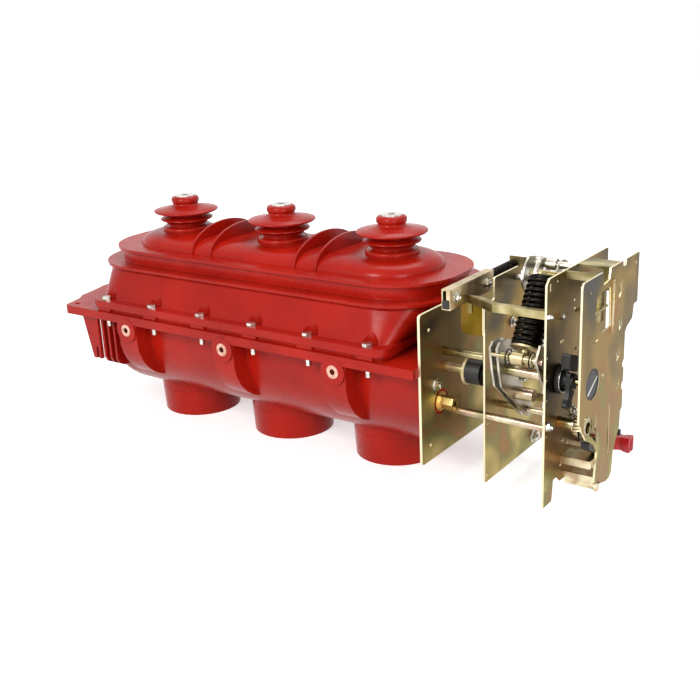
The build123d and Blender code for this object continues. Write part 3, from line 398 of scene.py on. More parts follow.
@dataclass
class Workpiece:
    """A mesh that is put together from turned, cut and bent forms, all sizes in millimetres."""

    mesh: bmesh.types.BMesh = field(default_factory=bmesh.new)

    def turned(self, axis: Axis, centre: tuple[float, float, float], profile: list[tuple[float, float]],
               sides: int = 32, start: float = 0.0) -> Workpiece:
        """Turns a closed profile about an axis.

        Args:
            axis: Axis of the piece.
            centre: Point where its height is nought.
            profile: Radius and height pairs from one pole or inner edge to the other.
            sides: Faces round the axis.
            start: Angle of the first corner in degrees.

        Returns:
            This workpiece.
        """
        turn = {Axis.X: Matrix(((0, 0, 1), (1, 0, 0), (0, 1, 0))),
                Axis.Y: Matrix(((0, 1, 0), (0, 0, 1), (1, 0, 0))), Axis.Z: Matrix.Identity(3)}[axis]
        rings = []
        for radius, height in profile:
            count = 1 if radius < 1e-6 else sides
            ring = []
            for i in range(count):
                angle = math.radians(start) + math.tau * i / sides
                local = Vector((radius * math.cos(angle), radius * math.sin(angle), height))
                ring.append(self.mesh.verts.new((Vector(centre) + turn @ local) * MM))
            rings.append(ring)
        closed = profile[0][0] > 1e-6 and profile[-1][0] > 1e-6
        pairs = list(zip(rings, rings[1:]))
        if closed:
            pairs.append((rings[-1], rings[0]))
        for low, high in pairs:
            for i in range(sides):
                j = (i + 1) % sides
                corners = [low[i % len(low)], low[j % len(low)], high[j % len(high)], high[i % len(high)]]
                unique = list(dict.fromkeys(corners))
                if len(unique) > 2:
                    self.mesh.faces.new(unique)
        return self

    def cut_sheet(self, axis: Axis, outline: list[tuple[float, float]], low: float, high: float,
                  round_mm: float = 0.4) -> Workpiece:
        """Cuts a flat piece from sheet and breaks its edges.

        Args:
            axis: Direction through the sheet.
            outline: Corners in the other two axes, in their alphabetical order.
            low: Lower face.
            high: Upper face.
            round_mm: Width of the broken edge.

        Returns:
            This workpiece.
        """
        def place(a: float, b: float, c: float) -> Vector:
            """Puts outline and thickness in their axes."""
            order = {Axis.X: (c, a, b), Axis.Y: (a, c, b), Axis.Z: (a, b, c)}[axis]
            return Vector(order) * MM
        part = bmesh.new()
        base = [part.verts.new(place(a, b, low)) for a, b in outline]
        top = [part.verts.new(place(a, b, high)) for a, b in outline]
        part.faces.new(base)
        part.faces.new(list(reversed(top)))
        for i in range(len(base)):
            j = (i + 1) % len(base)
            part.faces.new((base[j], base[i], top[i], top[j]))
        bmesh.ops.recalc_face_normals(part, faces=part.faces[:])
        if round_mm > 0:
            bmesh.ops.bevel(part, geom=part.edges[:], offset=round_mm * MM, segments=2, affect="EDGES",
                            clamp_overlap=True)
        scratch = bpy.data.meshes.new("scratch")
        part.to_mesh(scratch)
        part.free()
        self.mesh.from_mesh(scratch)
        bpy.data.meshes.remove(scratch)
        return self

    def pierced_sheet(self, outline: list[tuple[float, float]], holes: list[list[tuple[float, float]]],
                      low: float, high: float, round_mm: float = 0.35) -> Workpiece:
        """Cuts a plate across X with its holes and breaks its edges.

        Args:
            outline: Corners in Y and Z.
            holes: Outline of each hole.
            low: Lower face on X.
            high: Upper face on X.
            round_mm: Width of the broken edge.

        Returns:
            This workpiece.
        """
        curve = bpy.data.curves.new("sheet", "CURVE")
        curve.dimensions = "2D"
        curve.fill_mode = "BOTH"
        curve.extrude = ((high - low) / 2 - round_mm) * MM
        curve.bevel_depth = round_mm * MM
        curve.bevel_resolution = 1
        curve.offset = -round_mm * MM
        for loop in [outline, *holes]:
            spline = curve.splines.new("POLY")
            spline.points.add(len(loop) - 1)
            for target, (a, b) in zip(spline.points, loop):
                target.co = (a * MM, b * MM, 0.0, 1.0)
            spline.use_cyclic_u = True
        holder = bpy.data.objects.new("sheet", curve)
        bpy.context.scene.collection.objects.link(holder)
        scratch = bpy.data.meshes.new_from_object(holder.evaluated_get(bpy.context.evaluated_depsgraph_get()))
        scratch.transform(Matrix(((0, 0, 1, (low + high) / 2 * MM), (1, 0, 0, 0), (0, 1, 0, 0),
                                  (0, 0, 0, 1))))
        self.mesh.from_mesh(scratch)
        bpy.data.objects.remove(holder)
        bpy.data.meshes.remove(scratch)
        return self

    def lofted(self, sections: list[list[tuple[float, float, float]]], closed: bool = False) -> Workpiece:
        """Joins closed sections of the same count of points into one skin.

        Args:
            sections: Each a loop of points.
            closed: Whether the last section joins the first; otherwise both ends are filled.

        Returns:
            This workpiece.
        """
        rings = [[self.mesh.verts.new(Vector(p) * MM) for p in loop] for loop in sections]
        pairs = list(zip(rings, rings[1:]))
        if closed:
            pairs.append((rings[-1], rings[0]))
        else:
            self.mesh.faces.new(list(reversed(rings[0])))
            self.mesh.faces.new(rings[-1])
        for low, high in pairs:
            for i in range(len(low)):
                j = (i + 1) % len(low)
                self.mesh.faces.new((low[i], low[j], high[j], high[i]))
        return self

    def bent_rod(self, points: list[tuple[float, float, float]], radius: float,
                 closed: bool = False) -> Workpiece:
        """Bends round wire along a smooth line.

        Args:
            points: Points that the line is drawn towards.
            radius: Radius of the wire.
            closed: Whether its ends meet.

        Returns:
            This workpiece.
        """
        curve = bpy.data.curves.new("line", "CURVE")
        curve.dimensions = "3D"
        curve.bevel_depth = radius * MM
        curve.bevel_resolution = 4
        curve.use_fill_caps = True
        spline = curve.splines.new("NURBS")
        spline.points.add(len(points) - 1)
        for target, point in zip(spline.points, points):
            target.co = (*(Vector(point) * MM), 1.0)
        spline.order_u = 3
        spline.use_endpoint_u = not closed
        spline.use_cyclic_u = closed
        spline.resolution_u = 10
        holder = bpy.data.objects.new("line", curve)
        bpy.context.scene.collection.objects.link(holder)
        scratch = bpy.data.meshes.new_from_object(holder.evaluated_get(bpy.context.evaluated_depsgraph_get()))
        self.mesh.from_mesh(scratch)
        bpy.data.objects.remove(holder)
        bpy.data.meshes.remove(scratch)
        return self

    def deliver(self, name: str, body: Body, slot: str, material: bpy.types.Material,
                smooth_deg: float = 35.0) -> bpy.types.Object:
        """Makes the finished piece and fixes it to its body.

        Args:
            name: Name of the piece.
            body: Body that carries it.
            slot: Name of a material slot; not used.
            material: Its finish.
            smooth_deg: Edges sharper than this stay crisp.

        Returns:
            The object.
        """
        bmesh.ops.remove_doubles(self.mesh, verts=self.mesh.verts[:], dist=1e-6)
        bmesh.ops.recalc_face_normals(self.mesh, faces=self.mesh.faces[:])
        data = bpy.data.meshes.new(name)
        self.mesh.to_mesh(data)
        self.mesh.free()
        return settle(name, data, body, material, smooth_deg)


def arc(y: float, z: float, radius: float, sides: int = 28, squeeze: float = 1.0) -> list[tuple[float,
                                                                                                float]]:
    """Draws a round outline.

    Args:
        y: Centre.
        z: Centre.
        radius: Its radius.
        sides: Count of corners.
        squeeze: Width against height.

    Returns:
        The corners.
    """
    steps = [math.tau * i / sides for i in range(sides)]
    return [(y + radius * squeeze * math.cos(t), z + radius * math.sin(t)) for t in steps]


def eased(points: list[tuple[float, float]], radius: float, steps: int = 4) -> list[tuple[float, float]]:
    """Rounds every corner of an outline.

    Args:
        points: Its corners.
        radius: How far from a corner the round starts.
        steps: Points along each round.

    Returns:
        The new outline.
    """
    out = []
    for i, corner in enumerate(points):
        here = Vector(corner)
        before = Vector(points[i - 1]) - here
        after = Vector(points[(i + 1) % len(points)]) - here
        start = here + before.normalized() * min(radius, before.length * 0.45)
        end = here + after.normalized() * min(radius, after.length * 0.45)
        for k in range(steps + 1):
            t = k / steps
            out.append(tuple(start * (1 - t) ** 2 + here * 2 * t * (1 - t) + end * t ** 2))
    return out


def stadium(half_l: float, half_w: float, radius: float, z: float,
            steps: int = 14) -> list[tuple[float, float, float]]:
    """Draws a level rounded rectangle about the row of phases.

    Args:
        half_l: Half its length along X.
        half_w: Half its width along Y.
        radius: Its corner radius.
        z: Its height.
        steps: Points along each corner.

    Returns:
        The loop of points.
    """
    out = []
    for k, (sx, sy) in enumerate(((1, 1), (-1, 1), (-1, -1), (1, -1))):
        cx, cy = sx * (half_l - radius), sy * (half_w - radius)
        for i in range(steps + 1):
            t = math.pi / 2 * (k + i / steps)
            out.append((cx + radius * math.cos(t), cy + radius * math.sin(t), z))
    return out


def settle(name: str, data: bpy.types.Mesh, body: Body, material: bpy.types.Material,
           smooth_deg: float = 35.0) -> bpy.types.Object:
    """Turns a plain mesh into a named piece on its body.

    Args:
        name: Name of the piece.
        data: Its mesh in the shared frame.
        body: Body that carries it.
        material: Its finish.
        smooth_deg: Edges sharper than this stay crisp.

    Returns:
        The object.
    """
    data.name = name
    data.polygons.foreach_set("use_smooth", [True] * len(data.polygons))
    data.set_sharp_from_angle(angle=math.radians(smooth_deg))
    data.materials.clear()
    data.materials.append(material)
    piece = bpy.data.objects.new(name, data)
    bpy.context.scene.collection.objects.link(piece)
    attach(piece, body.value)
    log.info("%s: %d faces on %s", name, len(data.polygons), body.value)
    return piece


def run_tree(tree: bpy.types.NodeTree, base: bpy.types.Mesh, sizes: dict[str, object]) -> bpy.types.Mesh:
    """Runs a Geometry Nodes tree on a base mesh and keeps the plain result.

    Args:
        tree: The node tree.
        base: Mesh that it starts from.
        sizes: Input name against its value.

    Returns:
        The mesh that the tree makes.
    """
    holder = bpy.data.objects.new("holder", base)
    modifier = holder.modifiers.new("tree", "NODES")
    modifier.node_group = tree
    for item in tree.interface.items_tree:
        if item.item_type == "SOCKET" and item.in_out == "INPUT" and item.name in sizes:
            modifier[item.identifier] = sizes[item.name]
    bpy.context.scene.collection.objects.link(holder)
    result = bpy.data.meshes.new_from_object(holder.evaluated_get(bpy.context.evaluated_depsgraph_get()))
    bpy.data.objects.remove(holder)
    return result


def new_tree(name: str, inputs: list[tuple[str, str]]) -> tuple[bpy.types.NodeTree, bpy.types.Node]:
    """Starts a Geometry Nodes tree with named inputs.

    Args:
        name: Name of the tree.
        inputs: Pairs of input name and socket type.

    Returns:
        The tree and its group input.
    """
    tree = bpy.data.node_groups.new(name, "GeometryNodeTree")
    tree.interface.new_socket("Geometry", in_out="INPUT", socket_type="NodeSocketGeometry")
    for label, kind in inputs:
        tree.interface.new_socket(label, in_out="INPUT", socket_type=kind)
    tree.interface.new_socket("Geometry", in_out="OUTPUT", socket_type="NodeSocketGeometry")
    return tree, put(tree, "NodeGroupInput")


def end_tree(tree: bpy.types.NodeTree, geometry: bpy.types.NodeSocket,
             material: bpy.types.NodeSocket) -> None:
    """Realises the instances, sets the finish and closes the tree.

    Args:
        tree: The node tree.
        geometry: Output that holds the shape.
        material: Group input with the finish.
    """
    real = put(tree, "GeometryNodeRealizeInstances", {0: geometry})
    dressed = put(tree, "GeometryNodeSetMaterial", {0: real.outputs[0], "Material": material})
    put(tree, "NodeGroupOutput", {0: dressed.outputs[0]})


@dataclass
class SpringWinder:
    """Winds a round wire into a coil with closed end turns, about Z, in millimetres."""

    tree: bpy.types.NodeTree = field(init=False)

    def __post_init__(self) -> None:
        """Builds the tree once for both springs."""
        tree, given = new_tree("coil", [("Coil Radius", "NodeSocketFloat"),
                                        ("Wire Radius", "NodeSocketFloat"), ("Turns", "NodeSocketFloat"),
                                        ("Length", "NodeSocketFloat"), ("Dead Share", "NodeSocketFloat"),
                                        ("Finish", "NodeSocketMaterial")])
        size = given.outputs
        line = put(tree, "GeometryNodeCurvePrimitiveLine", {"Start": (0, 0, 0), "End": (0, 0, 1)})
        count = put(tree, "ShaderNodeMath", {0: size["Turns"], 1: 28.0}, operation="MULTIPLY")
        points = put(tree, "GeometryNodeResampleCurve", {"Curve": line.outputs[0], "Count": count.outputs[0]})
        share = put(tree, "GeometryNodeSplineParameter").outputs["Factor"]
        turn = put(tree, "ShaderNodeMath", {0: share, 1: size["Turns"]}, operation="MULTIPLY")
        angle = put(tree, "ShaderNodeMath", {0: turn.outputs[0], 1: math.tau}, operation="MULTIPLY")
        cosine = put(tree, "ShaderNodeMath", {0: angle.outputs[0]}, operation="COSINE")
        sine = put(tree, "ShaderNodeMath", {0: angle.outputs[0]}, operation="SINE")
        x = put(tree, "ShaderNodeMath", {0: cosine.outputs[0], 1: size["Coil Radius"]}, operation="MULTIPLY")
        y = put(tree, "ShaderNodeMath", {0: sine.outputs[0], 1: size["Coil Radius"]}, operation="MULTIPLY")
        far = put(tree, "ShaderNodeMath", {0: 1.0, 1: size["Dead Share"]}, operation="SUBTRACT")
        rise = put(tree, "ShaderNodeMapRange", {0: share, 1: size["Dead Share"], 2: far.outputs[0], 3: 0.0,
                                                4: 1.0}, interpolation_type="LINEAR")
        height = put(tree, "ShaderNodeMath", {0: rise.outputs[0], 1: size["Length"]}, operation="MULTIPLY")
        climb = put(tree, "ShaderNodeMath", {0: size["Wire Radius"], 1: 2.0}, operation="MULTIPLY")
        low = put(tree, "ShaderNodeMapRange", {0: share, 1: 0.0, 2: size["Dead Share"], 3: 0.0, 4: 1.0})
        high = put(tree, "ShaderNodeMapRange", {0: share, 1: far.outputs[0], 2: 1.0, 3: 0.0, 4: 1.0})
        ends = put(tree, "ShaderNodeMath", {0: low.outputs[0], 1: high.outputs[0]}, operation="ADD")
        dead = put(tree, "ShaderNodeMath", {0: ends.outputs[0], 1: climb.outputs[0]}, operation="MULTIPLY")
        z = put(tree, "ShaderNodeMath", {0: height.outputs[0], 1: dead.outputs[0]}, operation="ADD")
        spot = put(tree, "ShaderNodeCombineXYZ", {0: x.outputs[0], 1: y.outputs[0], 2: z.outputs[0]})
        helix = put(tree, "GeometryNodeSetPosition", {"Geometry": points.outputs[0],
                                                      "Position": spot.outputs[0]})
        ring = put(tree, "GeometryNodeCurvePrimitiveCircle", {"Resolution": 12,
                                                              "Radius": size["Wire Radius"]})
        wire = put(tree, "GeometryNodeCurveToMesh", {"Curve": helix.outputs[0],
                                                     "Profile Curve": ring.outputs[0], "Fill Caps": True})
        end_tree(tree, wire.outputs[0], size["Finish"])
        self.tree = tree

    def wind(self, radius: float, wire: float, turns: float, length: float, dead: float,
             finish: bpy.types.Material) -> bpy.types.Mesh:
        """Winds one spring.

        Args:
            radius: Radius to the middle of the wire.
            wire: Radius of the wire.
            turns: All turns with the closed ones.
            length: Length of the open part.
            dead: Share of the turns that is closed at each end.
            finish: Material of the wire.

        Returns:
            The spring on the Z axis, in metres.
        """
        sizes = {"Coil Radius": radius * MM, "Wire Radius": wire * MM, "Turns": turns, "Length": length * MM,
                 "Dead Share": dead, "Finish": finish}
        return run_tree(self.tree, bpy.data.meshes.new("empty"), sizes)


@dataclass
class HeadSetter:
    """Sets the same head on many points: rivets, pips and washers, in millimetres."""

    tree: bpy.types.NodeTree = field(init=False)

    def __post_init__(self) -> None:
        """Builds the tree of a chamfered head."""
        tree, given = new_tree("heads", [("Head Radius", "NodeSocketFloat"),
                                         ("Head Height", "NodeSocketFloat"),
                                         ("Crown Radius", "NodeSocketFloat"), ("Turn", "NodeSocketRotation"),
                                         ("Sides", "NodeSocketInt"), ("Finish", "NodeSocketMaterial")])
        size = given.outputs
        foot = put(tree, "GeometryNodeMeshCone", {"Vertices": size["Sides"],
                                                  "Radius Top": size["Crown Radius"],
                                                  "Radius Bottom": size["Head Radius"],
                                                  "Depth": size["Head Height"]})
        heads = put(tree, "GeometryNodeInstanceOnPoints", {"Points": size["Geometry"],
                                                           "Instance": foot.outputs[0],
                                                           "Rotation": size["Turn"]})
        end_tree(tree, heads.outputs[0], size["Finish"])
        self.tree = tree

    def set(self, spots: list[tuple[float, float, float]], radius: float, crown: float, height: float,
            axis: Axis, finish: bpy.types.Material, sides: int = 20) -> bpy.types.Mesh:
        """Sets heads on their spots.

        Args:
            spots: Places of the heads' feet.
            radius: Radius at the foot.
            crown: Radius at the top.
            height: Height of a head.
            axis: Direction in which they stand.
            finish: Their material.
            sides: Faces round a head.

        Returns:
            The mesh of all heads.
        """
        base = bpy.data.meshes.new("spots")
        base.from_pydata([Vector(s) * MM for s in spots], [], [])
        turn = {Axis.X: (0.0, math.pi / 2, 0.0), Axis.Y: (math.pi / 2, 0.0, 0.0),
                Axis.Z: (0.0, 0.0, 0.0)}[axis]
        sizes = {"Head Radius": radius * MM, "Crown Radius": crown * MM, "Head Height": height * MM,
                 "Turn": turn, "Sides": sides, "Finish": finish}
        return run_tree(self.tree, base, sizes)


@dataclass
class Dresser:
    """Gives the solids of the frame their finishes."""

    nodes: dict[str, bpy.types.Object]
    palette: Palette

    def dress(self) -> None:
        """Assigns one finish to each node."""
        p = self.palette
        groups = {
            "resin": ("lower_tank", "upper_shell", "outlet_collar_", "bushing_"),
            "terminal": ("top_terminal_",), "insert": ("side_inserts_",), "contact": ("outlet_contacts",),
            "fastener": ("cover_bolts_", "plate_bolts", "mechanism_screws"), "brass": ("gas_valve",),
            "plate": ("mounting_plate", "bearing_plate", "front_plate", "interlock_slider"),
            "bent_plate": ("middle_plate",),
            "bracket": ("top_brackets", "bottom_bracket", "spring_post", "top_bar", "spring_seats"),
            "rod": ("main_shaft", "handle_shaft", "tie_rods", "spring_pin"),
            "bright_zinc": ("carrier_plates", "lever_plate"), "channel": ("spring_channel",),
            "spring": ("main_spring", "return_spring"),
            "black": ("indicator_disc", "shaft_bearing", "latch_lever", "drive_hub"),
            "red": ("push_button",),
        }
        done = 0
        for finish, stems in groups.items():
            for name, node in self.nodes.items():
                if any(name.startswith(stem) for stem in stems):
                    node.data.materials.clear()
                    node.data.materials.append(getattr(p, finish))
                    done += 1
        log.info("dressed %d of %d nodes", done, len(self.nodes))


@dataclass
class Springs:
    """The main spring behind the bearing plate and the slim return spring on the channel."""

    palette: Palette
    winder: SpringWinder
    main_x: float = 484.0
    main_foot: tuple[float, float] = (-109.0, 245.0)
    main_lean_deg: float = 57.0
    main_radius: float = 21.0
    main_wire: float = 3.0
    main_turns: float = 14.0
    main_length: float = 82.0
    bearing_rear_x: float = 528
    foot_pin: tuple[float, float] = (-131, 237)
    return_x: float = 383.5
    return_z: float = 309.0
    return_y: tuple[float, float] = (-20.0, 56.0)
    return_radius: float = 6.3
    return_wire: float = 0.95
    return_turns: float = 19.0

    def main_spring(self) -> None:
        """Winds the main spring along its leaning axis."""
        coil = self.winder.wind(self.main_radius - self.main_wire, self.main_wire, self.main_turns,
                                self.main_length, 0.1, self.palette.spring)
        lean = math.radians(self.main_lean_deg)
        along = Vector((0, math.cos(lean), math.sin(lean)))
        foot = Vector((self.main_x, *self.main_foot)) * MM
        turn = Vector((0, 0, 1)).rotation_difference(along).to_matrix().to_4x4()
        coil.transform(Matrix.Translation(foot) @ turn)
        piece = settle("main_spring_wire", coil, Body.FRAME, self.palette.spring, 60.0)
        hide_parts("main_spring")
        seats = Workpiece()
        foot_cup = [(0, -5), (8, -5), (19, -4), (21, -3), (21, -0.5), (20, 0), (0, 0)]
        seats.turned(Axis.Z, (0, 0, 0), foot_cup)
        top = self.main_length + 2 * self.main_wire
        cone = [(0, top), (15, top), (16, top + 0.8), (16, top + 2.5), (9, top + 3), (5, top + 16),
                (0, top + 16)]
        seats.turned(Axis.Z, (0, 0, 0), cone)
        shank = [(0, -5), (7, -5), (7, -12), (6, -13), (0, -13)]
        seats.turned(Axis.Z, (0, 0, 0), shank)
        bmesh.ops.transform(seats.mesh, matrix=Matrix.Translation(foot) @ turn, verts=seats.mesh.verts[:])
        end = (foot + along * (top + 14) * MM) / MM
        reach = self.bearing_rear_x - self.main_x + 9
        seats.turned(Axis.X, (self.main_x - 9, end.y, end.z), [(0, 0), (4.5, 0), (4.5, reach), (0, reach)])
        seats.turned(Axis.X, (self.main_x - 8, *self.foot_pin), [(0, 0), (8.5, 0), (8.5, 16), (0, 16)])
        low = seats.deliver("spring_seat_pair", Body.FRAME, "passivated_steel", self.palette.bracket)
        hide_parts("spring_seats")

    def return_spring(self) -> None:
        """Winds the return spring along Y."""
        low, high = self.return_y
        coil = self.winder.wind(self.return_radius, self.return_wire, self.return_turns, high - low - 8.0,
                                0.06, self.palette.spring)
        turn = Vector((0, 0, 1)).rotation_difference(Vector((0, 1, 0))).to_matrix().to_4x4()
        coil.transform(Matrix.Translation(Vector((self.return_x, low + 1.5, self.return_z)) * MM) @ turn)
        piece = settle("return_spring_wire", coil, Body.FRAME, self.palette.spring, 60.0)
        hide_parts("return_spring")

    def build(self) -> None:
        """Winds both springs."""
        self.main_spring()
        self.return_spring()


@dataclass
class TankDetails:
    """Smooth bushings, the domed crown and the joint between tank and cover."""

    palette: Palette
    phases: tuple[tuple[str, float], ...] = (("left", -210.0), ("middle", 0.0), ("right", 210.0))
    bushing: tuple[tuple[float, float], ...] = (
        (0, 301), (40, 301), (40, 317.5), (41.3, 319), (41.5, 324.5), (40.8, 326.5), (38.5, 327.4), (33, 327),
        (30, 328.4), (30, 330.6), (34.6, 331.8), (35.2, 332.8), (34.6, 334.0), (30, 335.6), (29.6, 336.6),
        (43.2, 337.9), (44.4, 339.2), (44, 340.6), (30, 345.2), (29.4, 347), (30.5, 348.6), (52.6, 351.4),
        (54.2, 352.6), (54.3, 354), (53.6, 354.8), (38, 357.8), (24.5, 361.4), (21.6, 363.2), (21, 365),
        (21.6, 366.4), (23, 367.8), (23.6, 370), (23.4, 373), (22, 375.6), (19.6, 376.9), (16.7, 377.2),
        (16.7, 376), (0, 376))

    def bushings(self) -> None:
        """Turns the three ribbed bushings."""
        for side, x in self.phases:
            piece = Workpiece().turned(Axis.Z, (x, 0, 0), list(self.bushing), 96)
            shown = piece.deliver(f"ribbed_bushing_{side}", Body.FRAME, "cast_epoxy", self.palette.resin,
                                  50.0)
            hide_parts(f"bushing_{side}")

    def crown(self) -> None:
        """Lofts the dome between the upper rim and the bushings."""
        sections = []
        for k in range(13):
            t = k / 12
            rise = math.sin(t * math.pi / 2)
            sink = 1 - math.cos(t * math.pi / 2)
            sections.append(stadium(288.5 - 38 * sink, 81.5 - 39 * sink, 80.5 - 38 * sink,
                                    300.6 + 20.6 * rise))
        skin = Workpiece().lofted([stadium(291, 84, 83, 300.4)] + sections)
        skin.deliver("domed_crown", Body.FRAME, "cast_epoxy", self.palette.resin, 50.0)

    def joint(self) -> None:
        """Lofts the band that shows between the two flanges."""
        outer = [stadium(290.5, 157.5, 20, z) for z in (206.4, 212.6)]
        inner = [stadium(275, 142, 14, z) for z in (212.6, 206.4)]
        band = Workpiece().lofted(outer + inner, closed=True)
        band.deliver("flange_joint", Body.FRAME, "cast_epoxy", self.palette.resin)

    def build(self) -> None:
        """Builds the three."""
        self.bushings()
        self.crown()
        self.joint()


@dataclass
class PlateShop:
    """The four plates of the mechanism, cut from sheet with their real holes."""

    palette: Palette
    shaft: tuple[float, float] = (-108.5, 210.4)
    handle: tuple[float, float] = (-108.0, 150.0)
    button: tuple[float, float] = (16.5, 82)
    valve: tuple[float, float] = (-98, 141)
    mounting_x: tuple[float, float] = (345, 349)
    middle_x: tuple[float, float] = (413, 416)
    bearing_x: tuple[float, float] = (528, 531)
    front_x: tuple[float, float] = (573, 576)
    middle_front_y: float = -94
    flange_top_z: float = 290.5
    flange_start_x: float = 379
    sheet: float = 3
    crease_deg: float = 12.0

    def mounting(self) -> None:
        """Cuts the plate on the tank."""
        outline = eased([(-152, 62), (150, 62), (150, 281), (-152, 281)], 6)
        holes = [arc(*self.valve, 19, 40), arc(-129, 254.7, 2.6), arc(-128.9, 85, 2.6),
                 arc(-98.9, 70.4, 1.4, 12), arc(120, 250, 2.6), arc(120, 90, 2.6)]
        plate = Workpiece().pierced_sheet(outline, holes, *self.mounting_x)
        shown = plate.deliver("mounting_sheet", Body.FRAME, "passivated_steel", self.palette.plate,
                              self.crease_deg)
        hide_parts("mounting_plate")

    def middle(self) -> None:
        """Cuts the middle plate and bends its flange forward."""
        front = self.middle_front_y
        step = self.flange_top_z
        outline = [(front, 28), (92, 28), (92, 262), (36, 266), (7, 320.6), (-66, 320.6), (-66, step),
                   (front, step)]
        holes = [arc(-88.6, 38, 2), arc(-44.7, 131.2, 2.2), arc(-86, 115, 1.6, 14), arc(80, 40, 2.4),
                 arc(80, 240, 2.4)]
        plate = Workpiece().pierced_sheet(eased(outline, 3), holes, *self.middle_x)
        start = self.flange_start_x
        end = self.middle_x[1]
        flange = eased([(start, step), (start, 245), (end, 245), (end, step)], 10, 6)
        plate.cut_sheet(Axis.Y, flange, front, front + self.sheet, 0.3)
        shown = plate.deliver("middle_sheet", Body.FRAME, "passivated_steel", self.palette.bent_plate,
                              self.crease_deg)
        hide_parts("middle_plate")

    def bearing(self) -> None:
        """Cuts the tall bearing plate."""
        outline = [(-150, 43), (-125, 43), (-121, 72), (-111, 72), (-101, 62), (-78, 61), (-74, 48),
                   (-66, 42), (43, 38), (43, 350.7), (-142, 350.7), (-150, 343.7)]
        holes = [arc(*self.shaft, 7.6), arc(*self.handle, 8.1), arc(*self.button, 4.1),
                 arc(-90.9, 346.9, 1.4, 14), arc(-120.6, 342.3, 1.6, 14),
                 eased([(-142.2, 344), (-139.6, 344), (-139.6, 334), (-142.2, 334)], 1.2),
                 arc(-66.4, 304.9, 2.2), arc(-64.1, 292.9, 2.2), arc(-99.3, 259.4, 2.2),
                 arc(-105.8, 259.4, 2.2), arc(-147.0, 249.2, 1.3, 12), arc(-147.2, 219.7, 1.3, 12),
                 arc(-145.8, 192, 1.3, 12), arc(-145.9, 142.5, 1.3, 12), arc(-146.5, 68.6, 1.5, 12),
                 arc(30, 330, 2.4), arc(30, 60, 2.4)]
        plate = Workpiece().pierced_sheet(eased(outline, 2.5), holes, *self.bearing_x)
        shown = plate.deliver("bearing_sheet", Body.FRAME, "passivated_steel", self.palette.plate,
                              self.crease_deg)
        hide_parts("bearing_plate")

    def front(self) -> None:
        """Cuts the front plate with its window, slots and notches."""
        outline = [(-147.3, 168), (-142, 164), (-139, 156), (-132.8, 150.5), (-124, 139), (-109.3, 130.9),
                   (-95, 121), (-86, 108), (-91, 66), (-75, 58), (-50.7, 52), (-38, 53), (-32, 60),
                   (-29, 88), (-22, 100), (-9.4, 117), (-8.4, 139), (-2.4, 143), (-2.4, 168), (-7.4, 171),
                   (-7.4, 178), (-2.4, 181), (-2.4, 200), (-7.4, 203), (-7.4, 209), (-2.4, 212), (-2.4, 250),
                   (4, 256.3), (22, 263), (26, 281.6), (38.6, 282), (38.6, 350.4), (-7, 350.4), (-8, 342.4),
                   (-18, 342.4), (-19, 350.4), (-59, 350.4), (-62, 336), (-82, 333), (-85, 350.4),
                   (-143.3, 350.4), (-147.3, 345.4)]
        opening = eased([(-125, 148), (-131, 152), (-132.5, 168), (-127.3, 173), (-112.6, 172.6),
                         (-96.1, 165.6), (-91.5, 156), (-94, 146), (-86, 138), (-86.5, 122), (-93, 125),
                         (-104, 136)], 3)
        window = eased([(-94, 326), (-59, 326), (-55, 272.5), (-89, 271.5), (-102, 283), (-107, 302),
                        (-106, 319)], 2)
        holes = [arc(*self.shaft, 21, 48), opening, window, arc(-75.4, 212.3, 3.2), arc(-123.2, 333, 1.5, 14),
                 eased([(-119, 266), (-96, 264.5), (-96, 267), (-119, 268.5)], 0.8),
                 eased([(-52.5, 94), (-47, 92), (-46.6, 162), (-51.8, 164)], 1.5)]
        for y, low, high in ((-25, 303, 327), (-21, 258, 278), (-25, 216, 234), (-22.5, 176, 189)):
            holes.append(eased([(y - 4, low), (y + 4, low + 4), (y + 4, high), (y - 4, high - 4)], 2.4))
        holes += [arc(-29, 292, 2.2), arc(28, 338, 2.2), arc(-12, 226, 1.6, 14), arc(-60, 70, 2),
                  arc(-100, 190, 1.3, 12)]
        plate = Workpiece().pierced_sheet(eased(outline, 1.6), holes, *self.front_x)
        shown = plate.deliver("front_sheet", Body.FRAME, "passivated_steel", self.palette.plate,
                              self.crease_deg)
        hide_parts("front_plate")

    def build(self) -> None:
        """Cuts all four."""
        self.mounting()
        self.middle()
        self.bearing()
        self.front()


